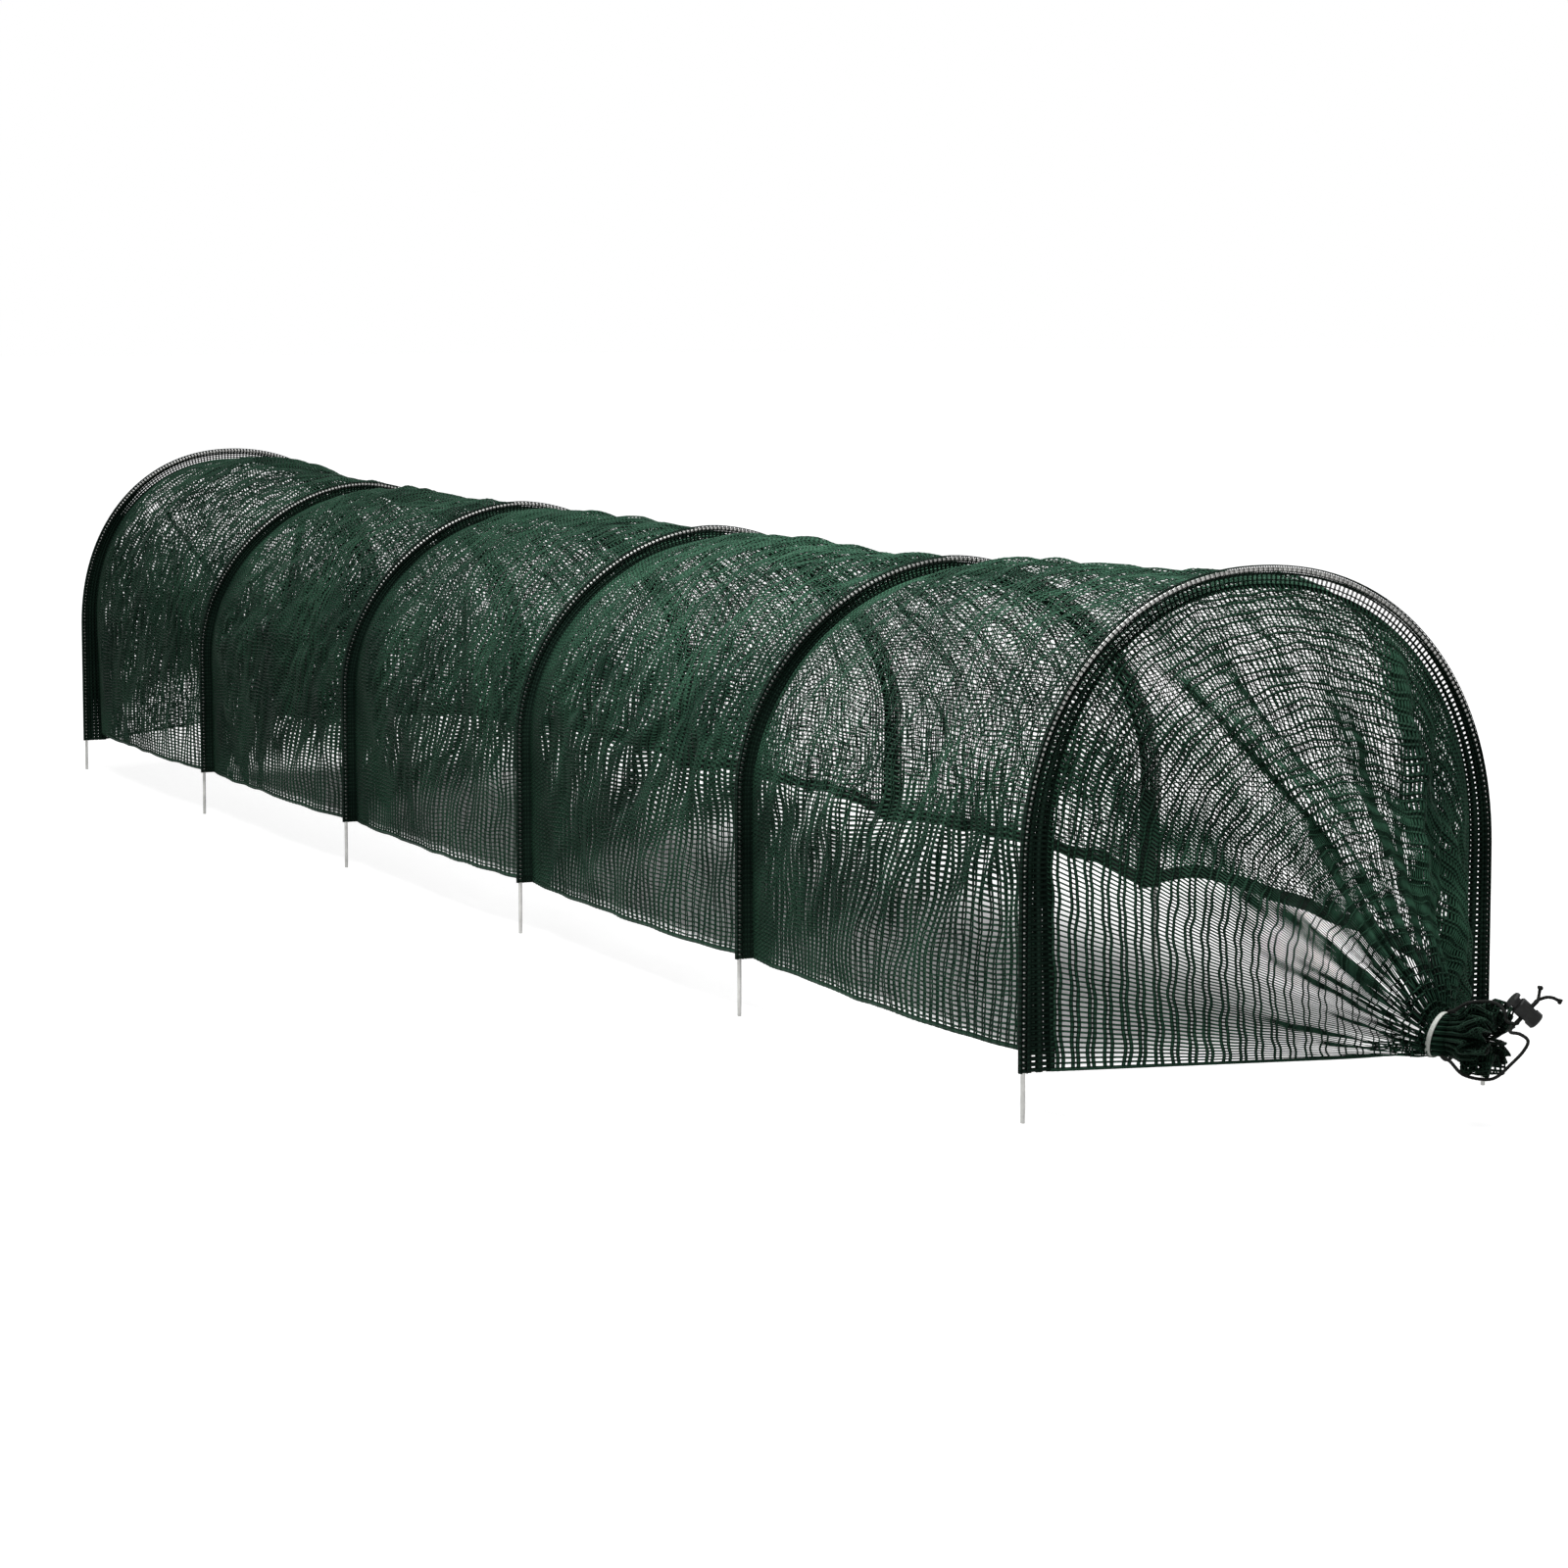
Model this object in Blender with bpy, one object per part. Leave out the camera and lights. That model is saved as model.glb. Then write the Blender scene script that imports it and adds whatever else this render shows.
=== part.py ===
"""Netting grow tunnel, built from the pieces that a real one is sewn and bent from.

Six wire hoops stand in sewn netting casings. Five bays of netting join the casings.
Both ends are netting skirts that are gathered into a neck, held by a pale tie and by
a drawstring with a sprung cord lock.

Metres, +Z up. X runs along the tunnel, with the front end at +X. The near side is -Y.
Z = 0 is the surface that the hoops' wire tips stand on.
"""
import math

import bmesh
import bpy
from mathutils import Matrix, Vector

# Hoops: pitch along the tunnel and the wire itself.
HOOP_COUNT = 6
BAY_PITCH = 0.600
WIRE_D = 0.004
LEG_OUT = 0.055

# Casing outline above the netting's hem. The end hoops stand a little taller than
# the middle ones, which the netting draws down into a flatter arch.
HALF_WIDTH = 0.2275
END_CREST = 0.4035
END_SPRING = 0.150
END_POWER = 2.14
MID_CREST = 0.379
MID_SPRING = 0.160
MID_POWER = 1.85

# Casings: a tuck of doubled netting round the wire, which stands as a thin fin.
CASING_WALL = 0.0010
FIN_THICK = 0.0018
FIN_CREST = 0.018
END_FIN_FOOT = 0.030
MID_FIN_FOOT = 0.020
END_DROP = 0.013

# Netting, as the closed sheet that its threads lie in.
NET_THICK = 0.0010
NET_SEAT = 0.0012
BAY_LAG = 0.0055
BAY_SWELL_POWER = 4
BAY_FOLD = 0.003
BAY_FOLD_COUNT = 3

# Gathered ends: where the neck lies from the end hoop and in from the far side, and
# the folds drawn into it.
NECK_REACH = 0.140
NECK_INSET = 0.1375
NECK_LIFT = 0.020
NECK_R = 0.016
NECK_FOLD = 0.0015
NECK_LEN = 0.014
GATHER_YAW = math.radians(32.7)
PLEATS = 8
PLEAT_WRAP = 0.92
SKIRT_FOLD = 0.006
RUFFLE_LEN = 0.048
RUFFLE_R = 0.025
RUFFLE_FOLD = 0.005

# Tie, drawstring and cord lock.
TIE_WIDTH = 0.0045
TIE_THICK = 0.0012
TIE_AT = 0.0040
CORD_D = 0.003
CORD_STEP = 0.0068
CORD_WRAP_AT = 0.0095
WRAP_TURN = 220
WRAP_STEP = 20
KNOT_R = 0.0024
LOCK_R = 0.0075
LOCK_LEN = 0.022
LOCK_EDGE = 0.001125
LOCK_FLOOR = 0.0015
LOCK_WALL = 0.0010
LOCK_BORE_R = 0.0052
LOCK_STROKE = 0.0035
LOCK_CORD_AT = 0.012
LOCK_HEAD = 0.0037
LOCK_STRAND_GAP = 0.0006
LOCK_STRAIGHT = (0.0125, 0.0085)
SPRING_WIRE_D = 0.0005
SPRING_TURNS = 4

# Where the cord lock lies from the neck's start, which way its stem points and which
# way its strands run, each as forward, near and up.
LOCK_AT = (0.084, 0.012, 0.028)
LOCK_STEM = (-0.612, 0.407, 0.676)
LOCK_THROUGH = (0.582, -0.387, 0.700)

# Running gap between touching pieces.
CLEAR = 0.0003

# How finely the curved pieces are cut.
ARCH_STEPS = 16
FINE_ARCH_STEPS = 32
BAY_LEG_STEPS = 2
SKIRT_LEG_STEPS = 4
BAY_ROWS = 6
SKIRT_ROWS = 7
RUFFLE_ROWS = 5
ROUND_SIDES = 16
BORE_SIDES = 6
BORE_TURNS = (6, 22, 60, 120, 180, 240, 300, 338, 354)
CASING_TURNS = (60, 120, 180, 240, 300)
SPRING_STEPS = 8
ROUTE_STEPS = 12
SHARP_ANGLE = math.radians(40)

HEM_Z = LEG_OUT
NECK_SIDE = HALF_WIDTH - NECK_INSET
BORE_R = (WIRE_D / 2 + CLEAR) / math.cos(math.pi / BORE_SIDES)
CASING_R = BORE_R + CASING_WALL
END_HOOP = {"crest": END_CREST, "spring": END_SPRING, "power": END_POWER,
            "fin_foot": END_FIN_FOOT, "drop": END_DROP}
MID_HOOP = {"crest": MID_CREST, "spring": MID_SPRING, "power": MID_POWER,
            "fin_foot": MID_FIN_FOOT, "drop": 0.0}


def clear_scene():
    """Remove whatever the file holds."""
    for item in list(bpy.data.objects):
        bpy.data.objects.remove(item, do_unlink=True)


def material(name, colour, roughness, metallic=0.0):
    """One Principled material with the piece's own colour."""
    made = bpy.data.materials.new(name)
    made.use_nodes = True
    shader = made.node_tree.nodes["Principled BSDF"]
    shader.inputs["Base Color"].default_value = (*colour, 1.0)
    shader.inputs["Roughness"].default_value = roughness
    shader.inputs["Metallic"].default_value = metallic
    made.diffuse_color = (*colour, 1.0)
    return made


def add_object(name, data, paint):
    """Link a mesh or curve to the scene under its node's name."""
    item = bpy.data.objects.new(name, data)
    data.materials.append(paint)
    bpy.context.scene.collection.objects.link(item)
    return item


def hoop_style(number):
    """The first and the last hoop are end hoops."""
    return END_HOOP if number in (1, HOOP_COUNT) else MID_HOOP


def hoop_x(number):
    """Hoops are spaced evenly about the tunnel's middle."""
    return (number - 1 - (HOOP_COUNT - 1) / 2) * BAY_PITCH


def stations(style, foot_z, leg_steps, arch_steps):
    """Casing outline from the near foot over the crest to the far foot.

    Each station is its place in the YZ plane, its inward normal, and how high it
    stands as a share of the crest.
    """
    spring_z = HEM_Z + style["spring"]
    rise = style["crest"] - style["spring"]
    power = style["power"]
    marks = []
    for step in range(leg_steps):
        height = foot_z + (spring_z - foot_z) * step / leg_steps
        marks.append(((-HALF_WIDTH, height), (1.0, 0.0)))
    for step in range(arch_steps + 1):
        angle = math.pi * (1.0 - step / arch_steps)
        side = math.copysign(abs(math.cos(angle)) ** (2.0 / power), math.cos(angle))
        lift = max(math.sin(angle), 0.0) ** (2.0 / power)
        slope_y = math.copysign(abs(side) ** (power - 1.0), side) / HALF_WIDTH
        slope_z = lift ** (power - 1.0) / rise
        length = math.hypot(slope_y, slope_z)
        place = (HALF_WIDTH * side, spring_z + rise * lift)
        marks.append((place, (-slope_y / length, -slope_z / length)))
    for step in range(1, leg_steps + 1):
        height = spring_z + (foot_z - spring_z) * step / leg_steps
        marks.append(((HALF_WIDTH, height), (-1.0, 0.0)))
    crest_z = HEM_Z + style["crest"]
    return [(place, normal, max(0.0, (place[1] - HEM_Z) / (crest_z - HEM_Z)))
            for place, normal in marks]


def inset(station, depth):
    """The station moved inwards by a depth."""
    (place_y, place_z), (normal_y, normal_z), _ = station
    return place_y + normal_y * depth, place_z + normal_z * depth


def fin_depth(style, station):
    """Depth of the fin from the casing's outline, which is least at the crest."""
    return style["fin_foot"] + (FIN_CREST - style["fin_foot"]) * station[2]


def tube_curve(name, points, radius, resolution):
    """Curve data for a round wire or cord along points, with filled ends."""
    data = bpy.data.curves.new(name, "CURVE")
    data.dimensions = "3D"
    data.bevel_depth = radius
    data.bevel_resolution = resolution
    data.use_fill_caps = True
    spline = data.splines.new("POLY")
    spline.points.add(len(points) - 1)
    for mark, point in zip(spline.points, points):
        mark.co = (*point, 1.0)
    spline.use_smooth = True
    return data


def mesh_from(name, corners, faces):
    """Mesh from points and faces, with its faces turned outwards."""
    data = bpy.data.meshes.new(name)
    shape = bmesh.new()
    made = [shape.verts.new(corner) for corner in corners]
    for face in faces:
        shape.faces.new([made[index] for index in face])
    bmesh.ops.recalc_face_normals(shape, faces=shape.faces)
    shape.to_mesh(data)
    shape.free()
    return data


def sheet(name, rows, paint):
    """Netting sheet through rows of points, given its thickness by Solidify."""
    across = len(rows[0])
    corners = [point for row in rows for point in row]
    faces = []
    for row in range(len(rows) - 1):
        for column in range(across - 1):
            first = row * across + column
            faces.append((first, first + 1, first + across + 1, first + across))
    data = mesh_from(name, corners, faces)
    data.shade_smooth()
    item = add_object(name, data, paint)
    solid = item.modifiers.new("thickness", "SOLIDIFY")
    solid.thickness = NET_THICK
    solid.offset = 0.0
    solid.use_even_offset = True
    return item


def build_hoop(number, paint):
    """Bent wire hoop, bare below the casing and cut square at its two tips."""
    marks = stations(hoop_style(number), 0.0, 1, ARCH_STEPS)
    points = [(hoop_x(number), *inset(mark, CASING_R)) for mark in marks]
    data = tube_curve(f"hoop_{number}", points, WIRE_D / 2, 2)
    return add_object(f"hoop_{number}", data, paint)


def casing_profile(depth):
    """Casing cut across: outer points and bore points as (inward, along X) pairs."""
    half = FIN_THICK / 2
    root = math.sqrt(CASING_R ** 2 - half ** 2)
    tip = depth - CASING_R
    outer = [(tip, half), (root, half)]
    bore = [(BORE_R * math.cos(math.radians(turn)), BORE_R * math.sin(math.radians(turn)))
            for turn in BORE_TURNS]
    for turn in CASING_TURNS:
        angle = math.radians(turn)
        outer.append((CASING_R * math.cos(angle), CASING_R * math.sin(angle)))
    outer += [(root, -half), (tip, -half)]
    return outer, bore


def build_casing(number, paint):
    """Casing swept along the hoop, open at both feet for the wire."""
    style = hoop_style(number)
    marks = stations(style, HEM_Z - style["drop"], 1, ARCH_STEPS)
    count = len(casing_profile(FIN_CREST)[0])
    corners = []
    for mark in marks:
        outer, bore = casing_profile(fin_depth(style, mark))
        for inward, along in outer + bore:
            corners.append((hoop_x(number) + along, *inset(mark, CASING_R + inward)))
    faces = []
    for station in range(len(marks) - 1):
        here = station * 2 * count
        after = here + 2 * count
        for edge in range(count):
            turn = (edge + 1) % count
            faces.append((here + edge, here + turn, after + turn, after + edge))
            faces.append((here + count + turn, here + count + edge,
                          after + count + edge, after + count + turn))
    for here in (0, (len(marks) - 1) * 2 * count):
        for edge in range(count):
            turn = (edge + 1) % count
            faces.append((here + edge, here + turn, here + count + turn, here + count + edge))
    data = mesh_from(f"casing_{number}", corners, faces)
    data.shade_smooth()
    data.set_sharp_from_angle(angle=SHARP_ANGLE)
    return add_object(f"casing_{number}", data, paint)


def build_bay(number, paint):
    """Netting between two casings: it leaves one stitch line, swells until it lies just
    inside the hoops' outline, and comes back to the next stitch line."""
    styles = (hoop_style(number), hoop_style(number + 1))
    outlines = [stations(style, HEM_Z, BAY_LEG_STEPS, ARCH_STEPS) for style in styles]
    edge = FIN_THICK / 2 + CLEAR + NET_THICK / 2
    start = hoop_x(number) + edge
    run = BAY_PITCH - 2 * edge
    rows = []
    for row in range(BAY_ROWS + 1):
        share = (1 - math.cos(math.pi * row / BAY_ROWS)) / 2
        swell = 1 - (2 * share - 1) ** BAY_SWELL_POWER
        line = []
        last = len(outlines[0]) - 1
        for index, pair in enumerate(zip(*outlines)):
            turn = math.tau * (BAY_FOLD_COUNT * index / last + share)
            fold = BAY_FOLD * math.sin(math.pi * share) * math.sin(turn)
            ends = []
            for style, mark in zip(styles, pair):
                seat = fin_depth(style, mark) - NET_SEAT
                ends.append(inset(mark, seat + (BAY_LAG - seat) * swell + fold))
            place_y = ends[0][0] + (ends[1][0] - ends[0][0]) * share
            place_z = ends[0][1] + (ends[1][1] - ends[0][1]) * share
            line.append((start + run * share, place_y, place_z))
        rows.append(line)
    return sheet(f"netting_bay_{number}", rows, paint)


class Gather:
    """Frame of a gathered end: forward along the gather, near-side and up."""

    def __init__(self, side):
        self.side = side
        self.centre = Vector((hoop_x(HOOP_COUNT) + NECK_REACH, NECK_SIDE, HEM_Z + NECK_LIFT))
        self.forward = Vector((math.cos(GATHER_YAW), math.sin(GATHER_YAW), 0.0))
        self.near = Vector((math.sin(GATHER_YAW), -math.cos(GATHER_YAW), 0.0))
        self.up = Vector((0.0, 0.0, 1.0))

    def turn(self, vector):
        """A direction, mirrored for the rear end."""
        return Vector((self.side * vector.x, vector.y, vector.z))

    def heading(self, forward, near, up):
        """A direction given by its shares, mirrored for the rear end."""
        return self.turn(self.forward * forward + self.near * near + self.up * up)

    def point(self, forward, near, up):
        """A point given from the neck's start, mirrored for the rear end."""
        return self.turn(self.centre) + self.heading(forward, near, up)

    def around(self, forward, angle, radius):
        """A point on a ring about the gather, with angle 0 at its top."""
        return self.point(forward, radius * math.sin(angle), radius * math.cos(angle))


def pleat_angle(column, last):
    """Angle round the neck of one column of the skirt, near hem first."""
    return (0.5 - column / last) * math.tau * PLEAT_WRAP


def build_skirt(end, name, paint):
    """Netting skirt from the end casing's stitch line, drawn into the neck."""
    style = END_HOOP
    marks = stations(style, HEM_Z - END_DROP, SKIRT_LEG_STEPS, FINE_ARCH_STEPS)
    last = len(marks) - 1
    start_x = hoop_x(HOOP_COUNT) + FIN_THICK / 2 + CLEAR + NET_THICK / 2
    rows = []
    for row in range(SKIRT_ROWS + 1):
        share = row / SKIRT_ROWS
        line = []
        for column, mark in enumerate(marks):
            angle = pleat_angle(column, last)
            depth = fin_depth(style, mark) - NET_SEAT
            foot = end.turn(Vector((start_x, *inset(mark, depth))))
            wave = math.cos(PLEATS * angle)
            neck = end.around(0.0, angle, NECK_R + NECK_FOLD * wave)
            radial = (end.around(0.0, angle, 1.0) - end.around(0.0, angle, 0.0))
            fold = SKIRT_FOLD * math.sin(math.pi * share) * wave
            line.append(foot.lerp(neck, share) + radial * fold)
        rows.append(line)
    rows.append([end.around(NECK_LEN, pleat_angle(column, last),
                            NECK_R + NECK_FOLD * math.cos(PLEATS * pleat_angle(column, last)))
                 for column in range(last + 1)])
    return sheet(name, rows, paint)


def build_ruffle(end, name, paint):
    """Loose netting beyond the neck, which opens again into deep folds."""
    last = FINE_ARCH_STEPS + 2 * SKIRT_LEG_STEPS
    rows = []
    for row in range(RUFFLE_ROWS + 1):
        share = row / RUFFLE_ROWS
        swell = math.sin(share * math.pi / 2)
        radius = NECK_R + (RUFFLE_R - NECK_R) * swell
        fold = NECK_FOLD + (RUFFLE_FOLD - NECK_FOLD) * swell
        forward = NECK_LEN + CLEAR + RUFFLE_LEN * share
        line = []
        for column in range(last + 1):
            angle = pleat_angle(column, last)
            line.append(end.around(forward, angle, radius + fold * math.cos(PLEATS * angle)))
        rows.append(line)
    return sheet(name, rows, paint)


def build_tie(end, name, paint):
    """Flat pale tie round the neck, as a turned band."""
    within = (NECK_R + NECK_FOLD + NET_THICK / 2 + CLEAR) / math.cos(math.pi / ROUND_SIDES)
    corners = []
    for step in range(ROUND_SIDES):
        angle = math.tau * step / ROUND_SIDES
        for forward, radius in ((-1, within), (1, within), (1, within + TIE_THICK),
                                (-1, within + TIE_THICK)):
            corners.append(end.around(TIE_AT + forward * TIE_WIDTH / 2, angle, radius))
    faces = []
    for step in range(ROUND_SIDES):
        here = 4 * step
        after = 4 * ((step + 1) % ROUND_SIDES)
        for edge in range(4):
            turn = (edge + 1) % 4
            faces.append((here + edge, here + turn, after + turn, after + edge))
    data = mesh_from(name, corners, faces)
    data.shade_smooth()
    data.set_sharp_from_angle(angle=SHARP_ANGLE)
    return add_object(name, data, paint)


def turned(name, profile, sides):
    """Mesh data of a closed profile turned about local Z; radius 0 ends it on the axis."""
    corners = []
    rings = []
    for radius, height in profile:
        if radius == 0.0:
            rings.append([len(corners)] * sides)
            corners.append((0.0, 0.0, height))
            continue
        rings.append([len(corners) + step for step in range(sides)])
        for step in range(sides):
            angle = math.tau * (step + 0.5) / sides
            corners.append((radius * math.cos(angle), radius * math.sin(angle), height))
    faces = []
    for lower, upper in zip(rings, rings[1:]):
        for step in range(sides):
            turn = (step + 1) % sides
            face = [lower[step], lower[turn], upper[turn], upper[step]]
            faces.append(list(dict.fromkeys(face)))
    data = mesh_from(name, corners, faces)
    data.shade_smooth()
    data.set_sharp_from_angle(angle=SHARP_ANGLE)
    return data


def lock_frame(end):
    """Cord lock's place: its foot's centre, its strands along X and its stem along Z."""
    crossing = end.point(*LOCK_AT)
    stem = end.heading(*LOCK_STEM).normalized()
    through = end.heading(*LOCK_THROUGH)
    through = (through - stem * through.dot(stem)).normalized()
    across = stem.cross(through)
    place = Matrix((through, across, stem)).transposed().to_4x4()
    place.translation = crossing - stem * LOCK_CORD_AT
    return place


def cut_slot(item, low, high, width, frame):
    """Cut the strands' slot through a cord-lock piece along its local X."""
    bpy.ops.mesh.primitive_cube_add(size=1.0)
    cutter = bpy.context.object
    cutter.name = f"{item.name}_slot"
    cutter.data.transform(Matrix.Diagonal((LOCK_R * 4, width, high - low, 1.0)))
    cutter.data.transform(Matrix.Translation((0.0, 0.0, (low + high) / 2)))
    cutter.matrix_world = frame
    cutter.hide_render = True
    cutter.display_type = "WIRE"
    cut = item.modifiers.new("slot", "BOOLEAN")
    cut.operation = "DIFFERENCE"
    cut.object = cutter


def build_lock(end, tag, paint, steel):
    """Cord lock: barrel, plunger with its button, and the spring between them."""
    frame = lock_frame(end)
    stem_r = LOCK_BORE_R - CLEAR
    cord_low = LOCK_CORD_AT - CORD_D / 2 - CLEAR
    cord_high = LOCK_CORD_AT + CORD_D / 2 + CLEAR
    slot = 2 * CORD_D + LOCK_STRAND_GAP + 2 * CLEAR
    barrel_profile = [(0.0, 0.0), (LOCK_R - LOCK_EDGE, 0.0), (LOCK_R, LOCK_EDGE),
                      (LOCK_R, LOCK_LEN - LOCK_EDGE), (LOCK_R - LOCK_EDGE, LOCK_LEN),
                      (LOCK_BORE_R, LOCK_LEN), (LOCK_BORE_R, LOCK_FLOOR), (0.0, LOCK_FLOOR)]
    barrel = add_object(f"lock_barrel_{tag}",
                        turned(f"lock_barrel_{tag}", barrel_profile, ROUND_SIDES), paint)
    barrel.matrix_world = frame
    cut_slot(barrel, cord_low - LOCK_STROKE, cord_high, slot, frame)

    stem_low = cord_low - LOCK_WALL - 2 * CLEAR
    head_low = LOCK_LEN + LOCK_STROKE + CLEAR
    head_top = head_low + LOCK_HEAD
    plunger_profile = [(0.0, stem_low), (stem_r, stem_low), (stem_r, head_low),
                       (LOCK_R, head_low), (LOCK_R, head_top - 2 * LOCK_EDGE),
                       (LOCK_R - LOCK_EDGE, head_top - LOCK_EDGE / 2), (LOCK_R / 2, head_top),
                       (0.0, head_top)]
    plunger = add_object(f"lock_plunger_{tag}",
                         turned(f"lock_plunger_{tag}", plunger_profile, ROUND_SIDES), paint)
    plunger.matrix_world = frame
    cut_slot(plunger, cord_low, cord_high + LOCK_STROKE, slot, frame)

    coil_r = stem_r - SPRING_WIRE_D
    low = LOCK_FLOOR + CLEAR + SPRING_WIRE_D / 2
    high = stem_low - CLEAR - SPRING_WIRE_D / 2
    points = []
    for step in range(SPRING_TURNS * SPRING_STEPS + 1):
        share = step / (SPRING_TURNS * SPRING_STEPS)
        angle = math.tau * SPRING_TURNS * share
        points.append(frame @ Vector((coil_r * math.cos(angle), coil_r * math.sin(angle),
                                      low + (high - low) * share)))
    data = tube_curve(f"lock_spring_{tag}", points, SPRING_WIRE_D / 2, 0)
    add_object(f"lock_spring_{tag}", data, steel)


def smooth_route(points, spacing):
    """Points at an even spacing along a Catmull-Rom curve through the route's points."""
    fine = []
    padded = [points[0] * 2 - points[1], *points, points[-1] * 2 - points[-2]]
    for first, second, third, fourth in zip(padded, padded[1:], padded[2:], padded[3:]):
        for step in range(ROUTE_STEPS):
            share = step / ROUTE_STEPS
            fine.append(0.5 * ((second * 2) + (third - first) * share
                               + (first * 2 - second * 5 + third * 4 - fourth) * share ** 2
                               + (second * 3 - first - third * 3 + fourth) * share ** 3))
    fine.append(points[-1])
    length = sum((after - before).length for before, after in zip(fine, fine[1:]))
    count = max(2, round(length / spacing))
    even = [fine[0]]
    gone = 0.0
    for before, after in zip(fine, fine[1:]):
        step = (after - before).length
        while len(even) < count and gone + step >= len(even) * length / count:
            share = (len(even) * length / count - gone) / step
            even.append(before.lerp(after, share))
        gone += step
    even.append(fine[-1])
    return even


def cord_route(end):
    """Route of the drawstring, tail to tail: lock, over the ruffle, round the neck,
    under the ruffle, a slack loop, and through the lock again."""
    frame = lock_frame(end)
    strand = (CORD_D + LOCK_STRAND_GAP) / 2

    def in_lock(along, side):
        return frame @ Vector((along, side * strand, LOCK_CORD_AT))

    far = -end.side
    near = end.side
    wrap_r = NECK_R + NECK_FOLD + NET_THICK / 2 + CORD_D / 2 + 2 * CLEAR
    route = [end.point(0.0916, 0.0040, 0.0450), end.point(0.0912, 0.0048, 0.0405)]
    route += [in_lock(along, far) for along in LOCK_STRAIGHT]
    route += [in_lock(-along, far) for along in reversed(LOCK_STRAIGHT)]
    route += [end.point(0.0690, 0.0165, 0.0200), end.point(0.0665, 0.0150, 0.0262),
              end.point(0.0600, 0.0125, 0.0318), end.point(0.0500, 0.0105, 0.0335),
              end.point(0.0320, 0.0115, 0.0310), end.point(0.0190, 0.0090, 0.0235)]
    for degrees in range(0, WRAP_TURN + 1, WRAP_STEP):
        route.append(end.around(CORD_WRAP_AT, -math.radians(degrees), wrap_r))
    route += [end.point(0.0190, 0.0165, -0.0185), end.point(0.0320, 0.0195, -0.0275),
              end.point(0.0500, 0.0185, -0.0300), end.point(0.0620, 0.0190, -0.0265),
              end.point(0.0760, 0.0220, -0.0140), end.point(0.0880, 0.0260, -0.0020),
              end.point(0.0920, 0.0260, 0.0070), end.point(0.0850, 0.0265, 0.0120),
              end.point(0.0745, 0.0225, 0.0125)]
    route += [in_lock(-along, near) for along in LOCK_STRAIGHT]
    route += [in_lock(along, near) for along in reversed(LOCK_STRAIGHT)]
    route += [end.point(0.0990, 0.0080, 0.0410), end.point(0.1045, 0.0070, 0.0410),
              end.point(0.1080, 0.0060, 0.0395)]
    return route


def build_cord(end, tag, paint):
    """Drawstring and the knot on each of its tails."""
    route = cord_route(end)
    points = smooth_route(route, CORD_STEP)
    data = tube_curve(f"drawstring_{tag}", points, CORD_D / 2, 2)
    add_object(f"drawstring_{tag}", data, paint)
    for number, (tip, before) in enumerate(((points[0], points[1]), (points[-1], points[-2])), 1):
        middle = tip + (tip - before).normalized() * (KNOT_R + CLEAR)
        bpy.ops.mesh.primitive_ico_sphere_add(subdivisions=2, radius=KNOT_R, location=middle)
        knot = bpy.context.object
        knot.name = f"cord_knot_{number}_{tag}"
        knot.data.name = knot.name
        knot.data.materials.append(paint)
        knot.data.shade_smooth()


def build():
    """Make every piece of the tunnel."""
    clear_scene()
    steel = material("galvanised_wire", (0.45, 0.45, 0.44), 0.38, 0.9)
    net = material("green_netting", (0.035, 0.085, 0.055), 0.75)
    band = material("dark_casing", (0.010, 0.020, 0.014), 0.75)
    pale = material("pale_tie", (0.62, 0.64, 0.60), 0.6)
    black = material("black_cord", (0.012, 0.013, 0.012), 0.7)
    moulded = material("black_moulding", (0.012, 0.012, 0.013), 0.4)

    for number in range(1, HOOP_COUNT + 1):
        build_hoop(number, steel)
        build_casing(number, band)
    for number in range(1, HOOP_COUNT):
        build_bay(number, net)
    for tag, side in (("front", 1.0), ("rear", -1.0)):
        end = Gather(side)
        build_skirt(end, f"end_skirt_{tag}", net)
        build_ruffle(end, f"ruffle_{tag}", net)
        build_tie(end, f"neck_tie_{tag}", pale)
        build_lock(end, tag, moulded, steel)
        build_cord(end, tag, black)


build()
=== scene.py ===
"""Looks of the netting grow tunnel: threads, casings, wires, ties, cords and the studio."""
import math

import bmesh
import bpy
import numpy as np
from mathutils import Matrix, Vector


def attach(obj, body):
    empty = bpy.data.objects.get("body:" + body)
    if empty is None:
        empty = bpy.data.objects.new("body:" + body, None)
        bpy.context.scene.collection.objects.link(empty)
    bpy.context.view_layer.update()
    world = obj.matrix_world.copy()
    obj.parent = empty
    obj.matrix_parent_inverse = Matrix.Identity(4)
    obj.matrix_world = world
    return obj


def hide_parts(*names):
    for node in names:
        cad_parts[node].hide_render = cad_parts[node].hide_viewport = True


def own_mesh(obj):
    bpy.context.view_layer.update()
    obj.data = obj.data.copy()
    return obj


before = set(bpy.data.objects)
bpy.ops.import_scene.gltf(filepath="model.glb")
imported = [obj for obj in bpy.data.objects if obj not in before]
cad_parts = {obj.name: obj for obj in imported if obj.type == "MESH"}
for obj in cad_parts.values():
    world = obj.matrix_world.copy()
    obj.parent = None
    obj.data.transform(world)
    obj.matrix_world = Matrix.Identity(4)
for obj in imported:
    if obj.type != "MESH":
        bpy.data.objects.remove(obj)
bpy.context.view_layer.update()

TAU = math.tau

# Camera: where it stands, its turn from -X and its dip, in metres and radians.
CAMERA_AT = (4.7677, -1.8713, 0.689)
CAMERA_YAW = 0.4128
CAMERA_DIP = 0.1105
CAMERA_LENS = 102.5
CAMERA_SENSOR = 36.0

# Soft key light: where it hangs, what it is turned to, its width and its strength.
KEY_AT = (1.10, -0.50, 1.70)
KEY_AIM = (1.15, -0.10, 0.3)
KEY_SIZE = 1.0
KEY_POWER = 31.0

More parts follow.
